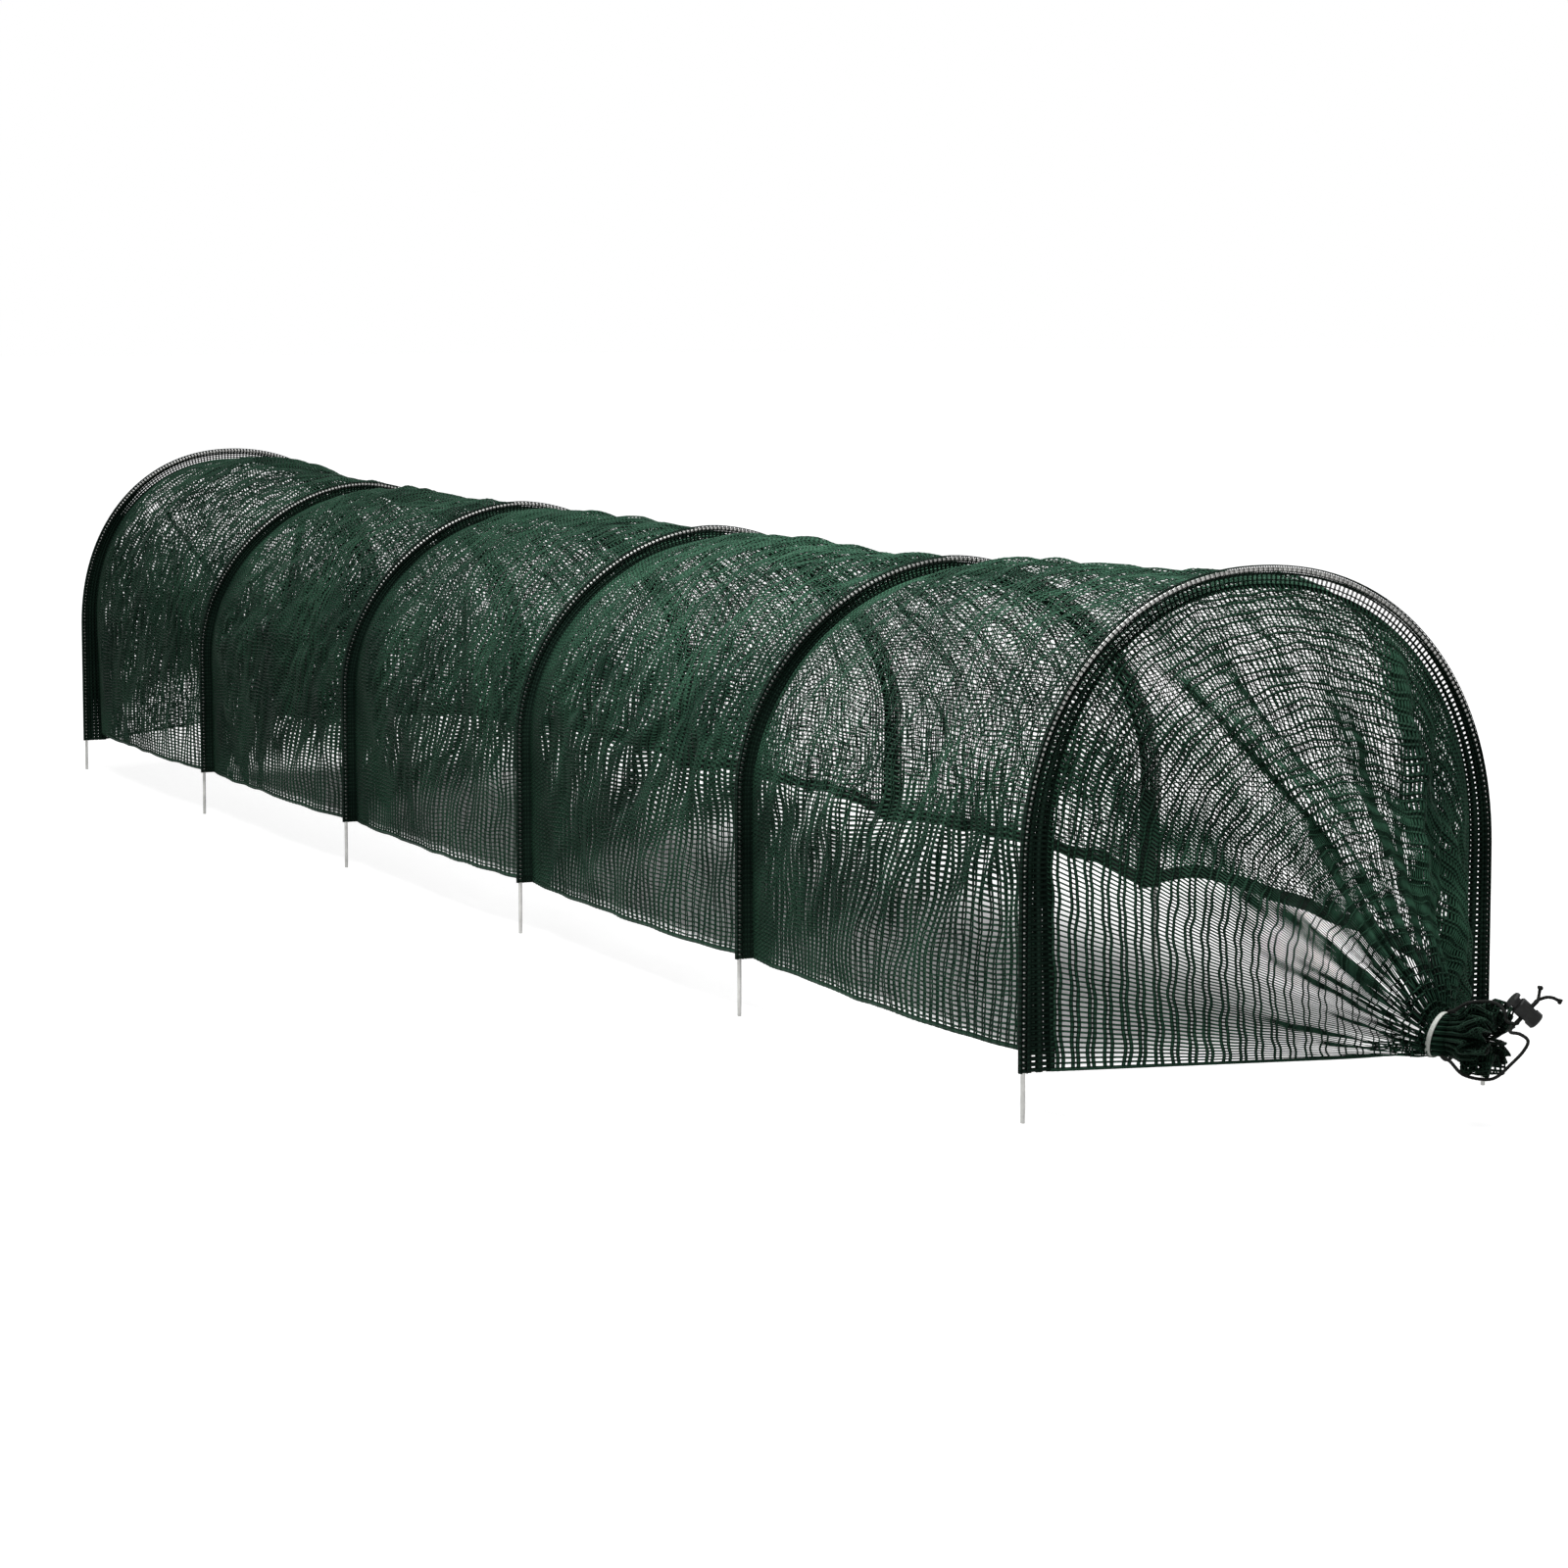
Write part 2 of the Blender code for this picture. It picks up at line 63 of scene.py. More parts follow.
# Wide overhead light: the way that it shines, its spread in degrees and its strength.
OVERHEAD_WAY = (-0.25, 0.10, -1.0)
OVERHEAD_SPREAD = 40
OVERHEAD_POWER = 1.2

# Surroundings: their light on the tunnel, and the floor's grey, glow and reach.
WORLD_LIGHT = 0.15
FLOOR_GREY = 0.45
FLOOR_GLOW = 0.89
FLOOR_REACH = 40

# Edges of the deepest shade, painted under the tunnel by taking the floor's glow away:
# axis, where it ends, where the floor is light.
PAINTED_SHADOW_EDGES = ((0, 1.12, 1.34), (0, -1.30, -1.50), (1, -0.038, -0.074), (1, 0.18, 0.56))

# Tunnel sizes, as in the part's source.
HOOP_COUNT = 6
BAY_PITCH = 0.600
WIRE_D = 0.004
WIRE_STEPS = 121
HEM_Z = 0.055
HALF_WIDTH = 0.2275
END_HOOP = {"crest": 0.4035, "spring": 0.150, "power": 2.14, "fin_foot": 0.030, "drop": 0.013}
MID_HOOP = {"crest": 0.379, "spring": 0.160, "power": 1.85, "fin_foot": 0.020, "drop": 0.0}
FIN_CREST = 0.018
CASING_R = 0.003656
NET_SEAT = 0.0012
BAY_LAG = 0.0055
BAY_FOLD = 0.003
BAY_FOLD_COUNT = 3
SEAM_GAP = 0.0017

# Gathered ends, as in the part's source.
NECK_REACH = 0.140
NECK_SIDE = 0.090
NECK_LIFT = 0.020
NECK_R = 0.016
NECK_FOLD = 0.0015
NECK_LEN = 0.014
NET_THICK = 0.0010
GATHER_YAW = math.radians(32.7)
PLEAT_WRAP = 0.92
PLEATS = 8
SKIRT_FOLD = 0.006
RUFFLE_LEN = 0.048
TIE_AT = 0.0040
TIE_WIDTH = 0.0045
TIE_THICK = 0.0012
CLEAR = 0.0003

# Tie, as it shows: its slant, where its middle lies, and how square its edges are.
TIE_SLANT = 0.005
TIE_SHIFT = -0.0035
TIE_SIDES = 12
TIE_SQUARE = (0.35, 0.6)

# Drawstring and cord lock, as in the part's source.
CORD_D = 0.003
CORD_WRAP_AT = 0.0095
CORD_EXIT = (0.076, 0.004, 0.036)  # where the first tail leaves the ruffle and the lock
WRAP_TURN = 220
WRAP_STEP = 20
ROUTE_STEPS = 12
BRAID_STEP = 0.0007
KNOT_R = 0.0024
KNOT_LOBE = 0.00055
KNOT_STRAND_R = 0.0011
LOCK_AT = (0.084, 0.012, 0.028)
LOCK_STEM = (-0.612, 0.407, 0.676)
LOCK_THROUGH = (0.582, -0.387, 0.700)
LOCK_CORD_AT = 0.012
LOCK_STRAND_GAP = 0.0006
LOCK_STRAIGHT = (0.0125, 0.0085)
FIRST_TAIL = ((0.0916, 0.0040, 0.0450), (0.0912, 0.0048, 0.0405))
OVER_RUFFLE = ((0.0690, 0.0165, 0.0200), (0.0665, 0.0150, 0.0262), (0.0600, 0.0125, 0.0318),
               (0.0500, 0.0105, 0.0335), (0.0320, 0.0115, 0.0310), (0.0190, 0.0090, 0.0235))
UNDER_RUFFLE = ((0.0190, 0.0165, -0.0185), (0.0320, 0.0195, -0.0275),
                (0.0500, 0.0185, -0.0300), (0.0620, 0.0190, -0.0265),
                (0.0760, 0.0220, -0.0140), (0.0880, 0.0260, -0.0020),
                (0.0920, 0.0260, 0.0070), (0.0850, 0.0265, 0.0120), (0.0745, 0.0225, 0.0125))
SECOND_TAIL = ((0.0990, 0.0080, 0.0410), (0.1045, 0.0070, 0.0410), (0.1080, 0.0060, 0.0395))

# Weave: thin threads run along the tunnel, and paired threads run over the arch. The plain
# beat is that of a thread which shows no painted shade from crossings, only an even mid tone.
THIN_PITCH = 0.0046
THIN_WIDTH = 0.0020
THIN_RISE = 0.0011
THIN_STEPS = 77
PAIR_PITCH = 0.0108
PAIR_GAP = 0.0034
PAIR_WIDTH = 0.0021
PAIR_STEPS = 97
WEAVE_OFFSET = 0.0002
WANDER = 0.0005
PLAIN_BEAT = 0.25
HEM_WIDTH = 0.0045
HEM_STEPS = 61

# Skirts: their slant length, and their weave, whose threads are pulled apart.
SKIRT_LEN = 0.33
SKIRT_STEPS = 53
OVER_STEPS = 353
SKIRT_THIN = 0.0022
SKIRT_PITCH = 0.0145
SKIRT_GAP = 0.0050
SKIRT_PAIR = 0.0028
SKIRT_RISE = 0.0010
SKIRT_EDGE = 0.0030
SKIRT_STRAY = 0.004

# Ruffle: rows of paired threads by their share of its length.
RUFFLE_ROWS = (0.12, 0.19, 0.36, 0.43, 0.60, 0.67, 0.84, 0.91, 0.98)
RUFFLE_STEPS = 13

# Casings: half the fin's thickness, the sleeve's inset and the threads' rise. For the hoop in
# front and for the others, lines along the fin by share of its depth, then the least width
# of the threads round it and along it, each with what it gains low down.
CASING_PITCH = 0.0047
FIN_HALF = 0.0009
SLEEVE_INSET = 0.0004
CASING_RISE = 0.0007
FRONT_CASING = ((0.0, 0.5, 0.95), (0.0009, 0.0024), (0.0009, 0.0054))
OTHER_CASINGS = ((0.0, 0.25, 0.5, 0.75, 0.95), (0.0014, 0.0022), (0.0013, 0.0036))
FIN_EDGE = (0.0035, 0.0040)
SLEEVE_LINES = (0.0014, 0.0032)
SLEEVE_ANGLES = (38, 155, 205, 322)

# Lie of the netting: how much higher its far hem is at the middle hoops, the share of that
# by which it rises again between hoops, and how far the cloth leans and crowds along X.
HEM_LIFT = 0.045
HEM_SLACK = 0.25
LAST_HEM_SLACK = 0.80
LEAN = 0.10
CROWDING = 0.05

# Threads on the roof, and streaks of thicker threads: how much thicker, how many patterns,
# their lean in degrees, spacing and relief, and the cloth's length that they are laid on.
ROOF_FULLNESS = 0.60
MID_ROOF_FULLNESS = ROOF_FULLNESS + 0.17
STREAKS = 0.16
STREAK_COUNT = 7
STREAK_LEAN = (12, 48)
STREAK_SIZE = (0.018, 0.06)
STREAK_RELIEF = 0.0016
STREAK_ARCH = 1.07

# For each bay: how much fuller the threads are up the near side of its roof, how far the
# crowding at its first hoop reaches, and how steeply the taut cloth above the near hem
# widens towards its second hoop.
ROOF_CROWDING = (0.26, 0.17, 0.17, 0.10, 0.0)
CROWDED_TO = (0.16, 0.16, 0.17, 0.23, 0.16)
TAUT_SLOPE = (0.13, 0.08, 0.12, 0.13, 0.13)

# Slackness of the netting: ripples out of its sheet and within it, crumples, and the longest
# and shortest of their waves, with the number of them where it isn't 9.
RIPPLE_OUT = 0.0030
RIPPLE_IN = 0.0030
CRUMPLE = 0.0012
OUT_WAVES = (0.30, 0.07)
IN_WAVES = (0.25, 0.06)
CRUMPLE_OUT_WAVES = (0.06, 0.03, 7)
CRUMPLE_WAVES = (0.07, 0.03, 7)

# Creases of the skirt: share over the arch, half width, depth, share along where it starts,
# and how far it drifts over the arch on the way to the neck, with the drift's power.
CREASES = ((0.075, 0.010, 0.006, 0.35, 0.0), (0.372, 0.009, 0.017, 0.02, 0.15),
           (0.43, 0.012, -0.008, 0.0, 0.12), (0.625, 0.016, 0.016, 0.0, -0.04),
           (0.70, 0.014, -0.008, 0.1, 0.0), (0.80, 0.012, 0.008, 0.2, 0.0))
DRIFT_POWER = 1.8

# Skirt: how far it slackens, crumples and puckers, and the cloth's length that these are
# laid on.
SKIRT_SLACK = 0.005
SKIRT_CRUMPLE = 0.0015
PUCKER = 0.005
PATTERN_ARCH = 1.1

# Neck: how far it narrows and its folds deepen as it tightens, and the seed, number and
# unevenness of the folds.
NECK_TAPER = 0.0025
NECK_DEEPEN = 0.0027
NECK_FOLDS = (5, 22, 0.6)

# Braid of the cord: length of a turn and depth of its relief; points round a knot.
BRAID_TURN = 0.006
BRAID_DEPTH = 0.00012
KNOT_STEPS = 72


def hoop_x(number):
    """Place of a hoop along the tunnel."""
    return (number - 1 - (HOOP_COUNT - 1) / 2) * BAY_PITCH


def hoop_style(number):
    """The first and the last hoop are end hoops."""
    return END_HOOP if number in (1, HOOP_COUNT) else MID_HOOP


class Outline:
    """Casing outline of one kind of hoop, by its share of the length from the near foot."""

    LEG_STEPS = 40
    ARCH_STEPS = 720

    def __init__(self, style, foot_z):
        spring = HEM_Z + style["spring"]
        rise = style["crest"] - style["spring"]
        power = style["power"]
        angle = np.linspace(math.pi, 0.0, self.ARCH_STEPS + 1)
        side = np.sign(np.cos(angle)) * np.abs(np.cos(angle)) ** (2 / power)
        lift = np.clip(np.sin(angle), 0.0, None) ** (2 / power)
        slope_y = np.sign(side) * np.abs(side) ** (power - 1) / HALF_WIDTH
        slope_z = lift ** (power - 1) / rise
        long = np.hypot(slope_y, slope_z)
        leg = np.linspace(foot_z, spring, self.LEG_STEPS, endpoint=False)
        full = np.ones(self.LEG_STEPS)
        self.y = np.concatenate([-HALF_WIDTH * full, HALF_WIDTH * side, HALF_WIDTH * full])
        self.z = np.concatenate([leg, spring + rise * lift, leg[::-1]])
        self.in_y = np.concatenate([full, -slope_y / long, -full])
        self.in_z = np.concatenate([0 * full, -slope_z / long, 0 * full])
        step = np.hypot(np.diff(self.y), np.diff(self.z))
        self.gone = np.concatenate([[0.0], np.cumsum(step)])
        self.length = self.gone[-1]
        self.style = style

    def at(self, share):
        """Place, inward normal and fin depth at shares of the length."""
        along = np.asarray(share) * self.length
        y, z, in_y, in_z = (np.interp(along, self.gone, line)
                            for line in (self.y, self.z, self.in_y, self.in_z))
        height = np.clip((z - HEM_Z) / self.style["crest"], 0.0, None)
        fin = self.style["fin_foot"] + (FIN_CREST - self.style["fin_foot"]) * height
        return y, z, in_y, in_z, fin


def ripple(u, v, seed, longest, shortest, waves=9):
    """Smooth pattern of about -1 to 1, a sum of seeded plane waves."""
    random = np.random.default_rng(seed)
    total = 0.0
    for _ in range(waves):
        size = longest * (shortest / longest) ** random.random()
        turn = random.random() * TAU
        phase = random.random() * TAU
        total = total + np.sin(TAU * (u * math.cos(turn) + v * math.sin(turn)) / size + phase)
    return total / math.sqrt(waves)


def unit(vectors):
    """Vectors scaled to length 1 along their last axis."""
    return vectors / np.maximum(np.linalg.norm(vectors, axis=-1, keepdims=True), 1e-12)


class Threads:
    """Flat ribbons with a raised middle, collected into the mesh of one piece."""

    def __init__(self, size):
        self.size = size
        self.corners = []
        self.marks = []
        self.beats = []
        self.painted_shadings = []
        self.quads = []
        self.caps = []
        self.count = 0

    def add(self, places, normals, flat, width, rise, beat, full=1.0):
        """Ribbons along rows of places, which face their normals.

        flat holds each place's spot on the cloth as it was cut, beat how many threads
        it has crossed and full how crowded the threads are. Shade is painted from these:
        each ribbon's edges, crowded threads and crossings are painted darker.
        """
        threads, steps, _ = places.shape
        run = np.gradient(places, axis=1)
        side = unit(np.cross(run, normals))
        half = np.broadcast_to(np.asarray(width) / 2, (threads, steps))[..., None]
        ring = np.stack([places - side * half, places + side * half,
                         places + normals * rise], axis=2)
        drift = unit(np.gradient(flat, axis=1))[..., ::-1] * np.array([1.0, -1.0])
        marks = np.stack([flat - drift * half, flat + drift * half, flat], axis=2)
        index = self.count + np.arange(threads * steps * 3).reshape(threads, steps, 3)
        here, after = index[:, :-1], index[:, 1:]
        turn = (1, 2, 0)
        self.quads.append(np.stack([here, after, after[..., turn], here[..., turn]],
                                   axis=-1).reshape(-1, 4))
        self.caps.append(index[:, 0, :])
        self.caps.append(index[:, -1, ::-1])
        self.corners.append(ring.reshape(-1, 3))
        self.marks.append(marks.reshape(-1, 2))
        self.beats.append(np.repeat(np.broadcast_to(beat, (threads, steps)).ravel(), 3))
        # Painted shade across each ribbon: 0 at its edges, up to 1 at its middle, less if
        # crowded.
        crest = np.zeros((threads, steps, 3))
        crest[..., 2] = np.clip(1.6 - 0.6 * np.asarray(full), 0.3, 1.0)
        self.painted_shadings.append(crest.ravel())
        self.count += threads * steps * 3

    def lay(self, point, side, s, t, offset, width, rise=THIN_RISE, beat=PLAIN_BEAT, full=1.0):
        """Ribbons over a surface along rows of shares (s, t), on the side that shows."""
        places, normals = surface_frame(point, s, t)
        normals = normals * side
        flat = np.stack([s * self.size[0], t * self.size[1]], axis=-1)
        self.add(places + normals * offset, normals, flat, width, rise, beat, full)

    def build(self, name, paint):
        """The mesh object of every ribbon added so far."""
        corners = np.concatenate(self.corners)
        marks = np.concatenate(self.marks) / max(self.size)
        quads = np.concatenate(self.quads)
        caps = np.concatenate(self.caps)
        loops = np.concatenate([quads.ravel(), caps.ravel()]).astype(np.int32)
        starts = np.concatenate([np.arange(len(quads)) * 4,
                                 len(quads) * 4 + np.arange(len(caps)) * 3]).astype(np.int32)
        data = bpy.data.meshes.new(name)
        data.vertices.add(len(corners))
        data.vertices.foreach_set("co", corners.astype(np.float32).ravel())
        data.loops.add(len(loops))
        data.loops.foreach_set("vertex_index", loops)
        data.polygons.add(len(starts))
        data.polygons.foreach_set("loop_start", starts)
        data.update(calc_edges=True)
        unwrapped = data.uv_layers.new(name="OFBake")
        unwrapped.data.foreach_set("uv", marks[loops].astype(np.float32).ravel())
        # Point values that the material turns into painted shade of the threads.
        for kind, values in (("painted_ridge_shading", self.painted_shadings), ("beat", self.beats)):
            mark = data.attributes.new(kind, "FLOAT", "POINT")
            mark.data.foreach_set("value", np.concatenate(values).astype(np.float32))
        data.validate()
        return add_object(name, data, paint)


def add_object(name, data, paint=None):
    """Link new data to the scene as a named piece."""
    item = bpy.data.objects.new(name, data)
    if paint is not None:
        data.materials.append(paint)
    bpy.context.scene.collection.objects.link(item)
    return item


def stand_in(piece, node, hoop):
    """Show a piece in place of its CAD node, on its hoop's body."""
    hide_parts(node)
    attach(piece, f"hoop_{hoop}_set")
    return piece


def surface_frame(point, s, t, step=0.002):
    """Places and outward normals of a surface at shares s and t."""
    places = point(s, t)
    along = point(s + step, t) - point(s - step, t)
    over = point(s, t + step) - point(s, t - step)
    return places, unit(np.cross(along, over))


def node(tree, kind, **inputs):
    """A new shader node, with inputs by name set to values or linked to sockets."""
    made = tree.nodes.new("ShaderNode" + kind)
    for name, value in inputs.items():
        feed(tree, made.inputs[name.replace("_", " ")], value)
    return made


def feed(tree, socket, value):
    """Set a socket to a value, or link it to another node's socket."""
    if isinstance(value, bpy.types.NodeSocket):
        tree.links.new(value, socket)
    else:
        socket.default_value = value


def noise(tree, scale, detail, rough=0.5, stretch=(1.0, 1.0, 1.0)):
    """A noise in the piece's own coordinates, in metres."""
    place = node(tree, "TexCoord").outputs["Object"]
    fit = node(tree, "Mapping", Vector=place, Scale=stretch).outputs["Vector"]
    return node(tree, "TexNoise", Vector=fit, Scale=scale, Detail=detail,
                Roughness=rough).outputs["Fac"]


def grade(tree, source, low, high, start=0.3, stop=0.7):
    """A value moved to another range."""
    return node(tree, "MapRange", Value=source, From_Min=start, From_Max=stop, To_Min=low,
                To_Max=high).outputs["Result"]


def combine(tree, operation, *values):
    """Maths on sockets and numbers."""
    made = node(tree, "Math")
    made.operation = operation
    for socket, value in zip(made.inputs, values):
        feed(tree, socket, value)
    return made.outputs[0]


def attribute(tree, name):
    """A value that the mesh carries at its points."""
    made = node(tree, "Attribute")
    made.attribute_name = name
    return made.outputs["Fac"]


def grained_paint(name, look, tint, shades, grain, relief, gloss=None):
    """Material in two shades with a fine grain.

    look is its roughness, metallic and specular level; tint and grain are noises, shades
    the colours over the first and their places; relief is the grain's strength and depth,
    and gloss the least and most roughness that the grain gives.
    """
    made = bpy.data.materials.new(name)
    made.use_nodes = True
    tree = made.node_tree
    main = tree.nodes["Principled BSDF"].inputs
    for level, value in zip(("Roughness", "Metallic", "Specular IOR Level"), look):
        main[level].default_value = value
    ramp = node(tree, "ValToRGB", Fac=noise(tree, *tint))
    for element, (place, colour) in zip(ramp.color_ramp.elements, shades):
        element.position = place
        element.color = (*colour, 1.0)
    tree.links.new(ramp.outputs["Color"], main["Base Color"])
    fine = noise(tree, *grain)
    if gloss:
        tree.links.new(grade(tree, fine, *gloss), main["Roughness"])
    raised = node(tree, "Bump", Height=fine, Strength=relief[0], Distance=relief[1])
    tree.links.new(raised.outputs["Normal"], main["Normal"])
    return made


def painted_shade_thread_paint(name, dark, light, roughness, specular):
    """Dyed plastic thread, a little uneven in colour and gloss, with painted light and shade:
    lighter along its middle, darker along its edges, in crowded cloth and where it passes
    under another thread."""
    made = grained_paint(name, (roughness, 0.0, specular), (9.0, 3.0),
                         [(0.35, dark), (0.65, light)], (1400.0, 2.0), (0.35, 0.0003),
                         (roughness - 0.1, roughness + 0.1))
    tree = made.node_tree
    # Painted light and shade across each ribbon, from its dark edges to its lighter middle.
    raised = grade(tree, attribute(tree, "painted_ridge_shading"), 0.25, 1.25, 0.0, 1.0)
    # Painted shade where the thread passes under the threads that it crosses.
    wave = combine(tree, "COSINE", combine(tree, "MULTIPLY", attribute(tree, "beat"), TAU))
    crossed = grade(tree, wave, 0.40, 1.25, -0.6, 0.8)
    # The thread's colour is scaled by both painted shades.
    base = tree.nodes["Principled BSDF"].inputs["Base Color"]
    colour_with_painted_shade = node(tree, "VectorMath")
    colour_with_painted_shade.operation = "SCALE"
    tree.links.new(base.links[0].from_socket, colour_with_painted_shade.inputs[0])
    tree.links.new(combine(tree, "MULTIPLY", raised, crossed), colour_with_painted_shade.inputs["Scale"])
    tree.links.new(colour_with_painted_shade.outputs[0], base)
    return made


def make_paints():
    """Every material, by name."""
    return {
        "net": painted_shade_thread_paint("green_netting", (0.019, 0.053, 0.034), (0.038, 0.104, 0.064),
                            0.5, 0.04),
        # The casing and the ruffle are the same netting in darker shades: painted shade for their
        # doubled and crumpled cloth.
        "band": painted_shade_thread_paint("dark_casing", (0.007, 0.017, 0.012), (0.016, 0.036, 0.025),
                             0.55, 0.03),
        "bunch": painted_shade_thread_paint("ruffle_netting_painted_shade", (0.008, 0.020, 0.013), (0.022, 0.052, 0.034),
                              0.55, 0.04),
        "wire": grained_paint("galvanised_wire", (0.4, 0.85), (60.0, 4.0),
                              [(0.3, (0.36, 0.36, 0.35)), (0.7, (0.58, 0.58, 0.56))],
                              (900.0, 3.0, 0.5, (1.0, 1.0, 0.15)), (0.2, 0.0002), (0.32, 0.52)),
        "moulded": grained_paint("black_moulding", (0.45, 0.0, 0.2), (120.0, 2.0),
                                 [(0.35, (0.008, 0.009, 0.009)), (0.65, (0.018, 0.019, 0.018))],
                                 (2600.0, 2.0), (0.25, 0.0001), (0.34, 0.5)),
        "cord": grained_paint("black_cord", (0.8, 0.0, 0.1), (1500.0, 1.0),
                              [(0.4, (0.006, 0.007, 0.006)), (0.6, (0.026, 0.028, 0.026))],
                              (1500.0, 1.0), (0.6, 0.0004)),
        "tie": grained_paint("pale_tie", (0.65,), (900.0, 2.0),
                             [(0.35, (0.55, 0.58, 0.53)), (0.65, (0.74, 0.77, 0.72))],
                             (900.0, 2.0), (0.5, 0.0003)),
    }


def foot_lift(number):
    """How much higher the netting ends on the far side of a hoop."""
    return 0.0 if number in (1, HOOP_COUNT) else HEM_LIFT


def bay_surface(number):
    """Function that places shares (along, over) of one bay's netting."""
    outlines = [Outline(hoop_style(one), HEM_Z) for one in (number, number + 1)]
    long = (outlines[0].length + outlines[1].length) / 2
    start = hoop_x(number) + SEAM_GAP
    run = BAY_PITCH - 2 * SEAM_GAP

    def point(s, t):
        fade = np.clip(np.minimum(s, 1 - s) / 0.12, 0.0, 1.0)
        low = 0.35 + 0.65 * smooth(np.minimum(t, 1 - t), 0.05, 0.25)
        calm = fade * (0.3 + 0.7 * np.clip(np.minimum(t, 1 - t) / 0.08, 0.0, 1.0))
        u, v = s * run, t * long
        s = s + fade * RIPPLE_IN / run * ripple(u, v, 11 + number, *IN_WAVES)
        t = t + calm * RIPPLE_IN / long * ripple(u, v, 31 + number, *IN_WAVES)
        t = t + low * calm * CRUMPLE / long * ripple(u, v, 91 + number, *CRUMPLE_WAVES)
        s = s + low * fade * CRUMPLE / run * ripple(u, v, 81 + number, *CRUMPLE_WAVES)
        swell = 1 - (2 * s - 1) ** 4
        lift = foot_lift(number) * (1 - s) + foot_lift(number + 1) * s
        slack = LAST_HEM_SLACK if number == HOOP_COUNT - 1 else HEM_SLACK
        t = t * (1 - (lift + slack * HEM_LIFT * swell) / long)
        lean = smooth(t, 0.02, 0.20) * (1 - smooth(t, 0.20, 0.42))
        s = s + LEAN * lean * np.sin(math.pi * np.clip(s, 0, 1)) ** 2
        fold = BAY_FOLD * np.sin(math.pi * s) * np.sin(TAU * (BAY_FOLD_COUNT * t + s))
        fold = fold + calm * RIPPLE_OUT * ripple(u, v, 51 + number, *OUT_WAVES)
        fold = fold + low * calm * CRUMPLE * ripple(u, v, 71 + number, *CRUMPLE_OUT_WAVES)
        wall = 1 - 0.7 * smooth(t, 0.30, 0.50)
        fold = fold + low * calm * wall * STREAK_RELIEF * streaks(s, t, 300 + number)
        ends = []
        for outline in outlines:
            y, z, in_y, in_z, fin = outline.at(t)
            beyond = (np.clip(t - 1, 0, None) + np.clip(t, None, 0)) * outline.length
            depth = fin - NET_SEAT + (BAY_LAG - fin + NET_SEAT) * swell + fold
            ends.append((y + in_y * depth, z + in_z * depth - np.abs(beyond)))
        return np.stack([start + run * s, ends[0][0] * (1 - s) + ends[1][0] * s,
                         ends[0][1] * (1 - s) + ends[1][1] * s], axis=-1)

    return point, run, long


def wander(count, length, steps, seed, longest=0.09, shortest=0.02, waves=4):
    """Small sideways strays of threads, one row for each thread."""
    random = np.random.default_rng(seed)
    way = np.linspace(0.0, length, steps)[None, :]
    total = np.zeros((count, steps))
    for _ in range(waves):
        size = longest * (shortest / longest) ** random.random((count, 1))
        total += np.sin(TAU * (way / size + random.random((count, 1))))
    return total / math.sqrt(waves)


def smooth(value, low, high):
    """0 below low, 1 above high, and a smooth step between."""
    share = np.clip((value - low) / (high - low), 0.0, 1.0)
    return share * share * (3 - 2 * share)


def streaks(s, t, seed):
    """Leaning streaks of crowded cloth, from about -1 to 1."""
    u, v = s * BAY_PITCH, t * STREAK_ARCH
    random = np.random.default_rng(seed)
    total = 0.0
    for _ in range(STREAK_COUNT):
        turn = math.radians(random.uniform(*STREAK_LEAN))
        size = random.uniform(*STREAK_SIZE)
        shift = 0.8 * ripple(u, v, int(random.integers(1000)), 0.3, 0.1, 4)
        total = total + np.sin(TAU * (u * math.cos(turn) - v * math.sin(turn)) / size + shift
                               + random.random() * TAU)
    return total / math.sqrt(STREAK_COUNT)


def bay_fullness(number, s, t):
    """How thick a bay's threads look: slack cloth low on the near side, stretched on the
    roof."""
    last = number == HOOP_COUNT - 1
    # Taut in a wedge above the near hem, slack above that, and crowded at the first hoop.
    wedge = 0.015 + TAUT_SLOPE[number - 1] * np.clip(s, 0, 1)
    above = smooth(t, wedge - 0.015, wedge + 0.02)
    low = 0.96 + 0.46 * above if last else 0.90 + 0.76 * above
    low = low + (0.12 if number < 3 else 0.0)
    low = low + 0.62 * (1 - smooth(s, 0.03, CROWDED_TO[number - 1]))
    # Thin on the roof, and a little fuller up its near side.
    roof = ROOF_FULLNESS if last else MID_ROOF_FULLNESS
    full = low + (roof - low) * (smooth(t, 0.13, 0.27) if last else smooth(t, 0.20, 0.38))
    full = full + (0.12 * smooth(s, 0.55, 0.9) if last else 0.0)
    roof_side = smooth(t, 0.31, 0.40) * (1 - smooth(t, 0.50, 0.58))
    full = full + ROOF_CROWDING[number - 1] * roof_side
    return full * (1 + STREAKS * (0.3 + 0.7 * above) * streaks(s, t, 300 + number))


def lay_threads(threads, point, rows, width, steps, along, number, seed, beat):
    """Threads of a bay at fixed shares rows, which run along the other share."""
    across, run = reversed(threads.size) if along else threads.size
    fixed, moving = np.meshgrid(rows, np.linspace(0.0, 1.0, steps), indexing="ij")
    fixed = fixed + WANDER / across * wander(len(rows), run, steps, seed + number)
    s, t = (moving, fixed) if along else (fixed, moving)
    full = bay_fullness(number, s, t)
    threads.lay(point, 1.0, s, t, WEAVE_OFFSET, width * full, THIN_RISE * full[..., None],
                beat(moving), full)


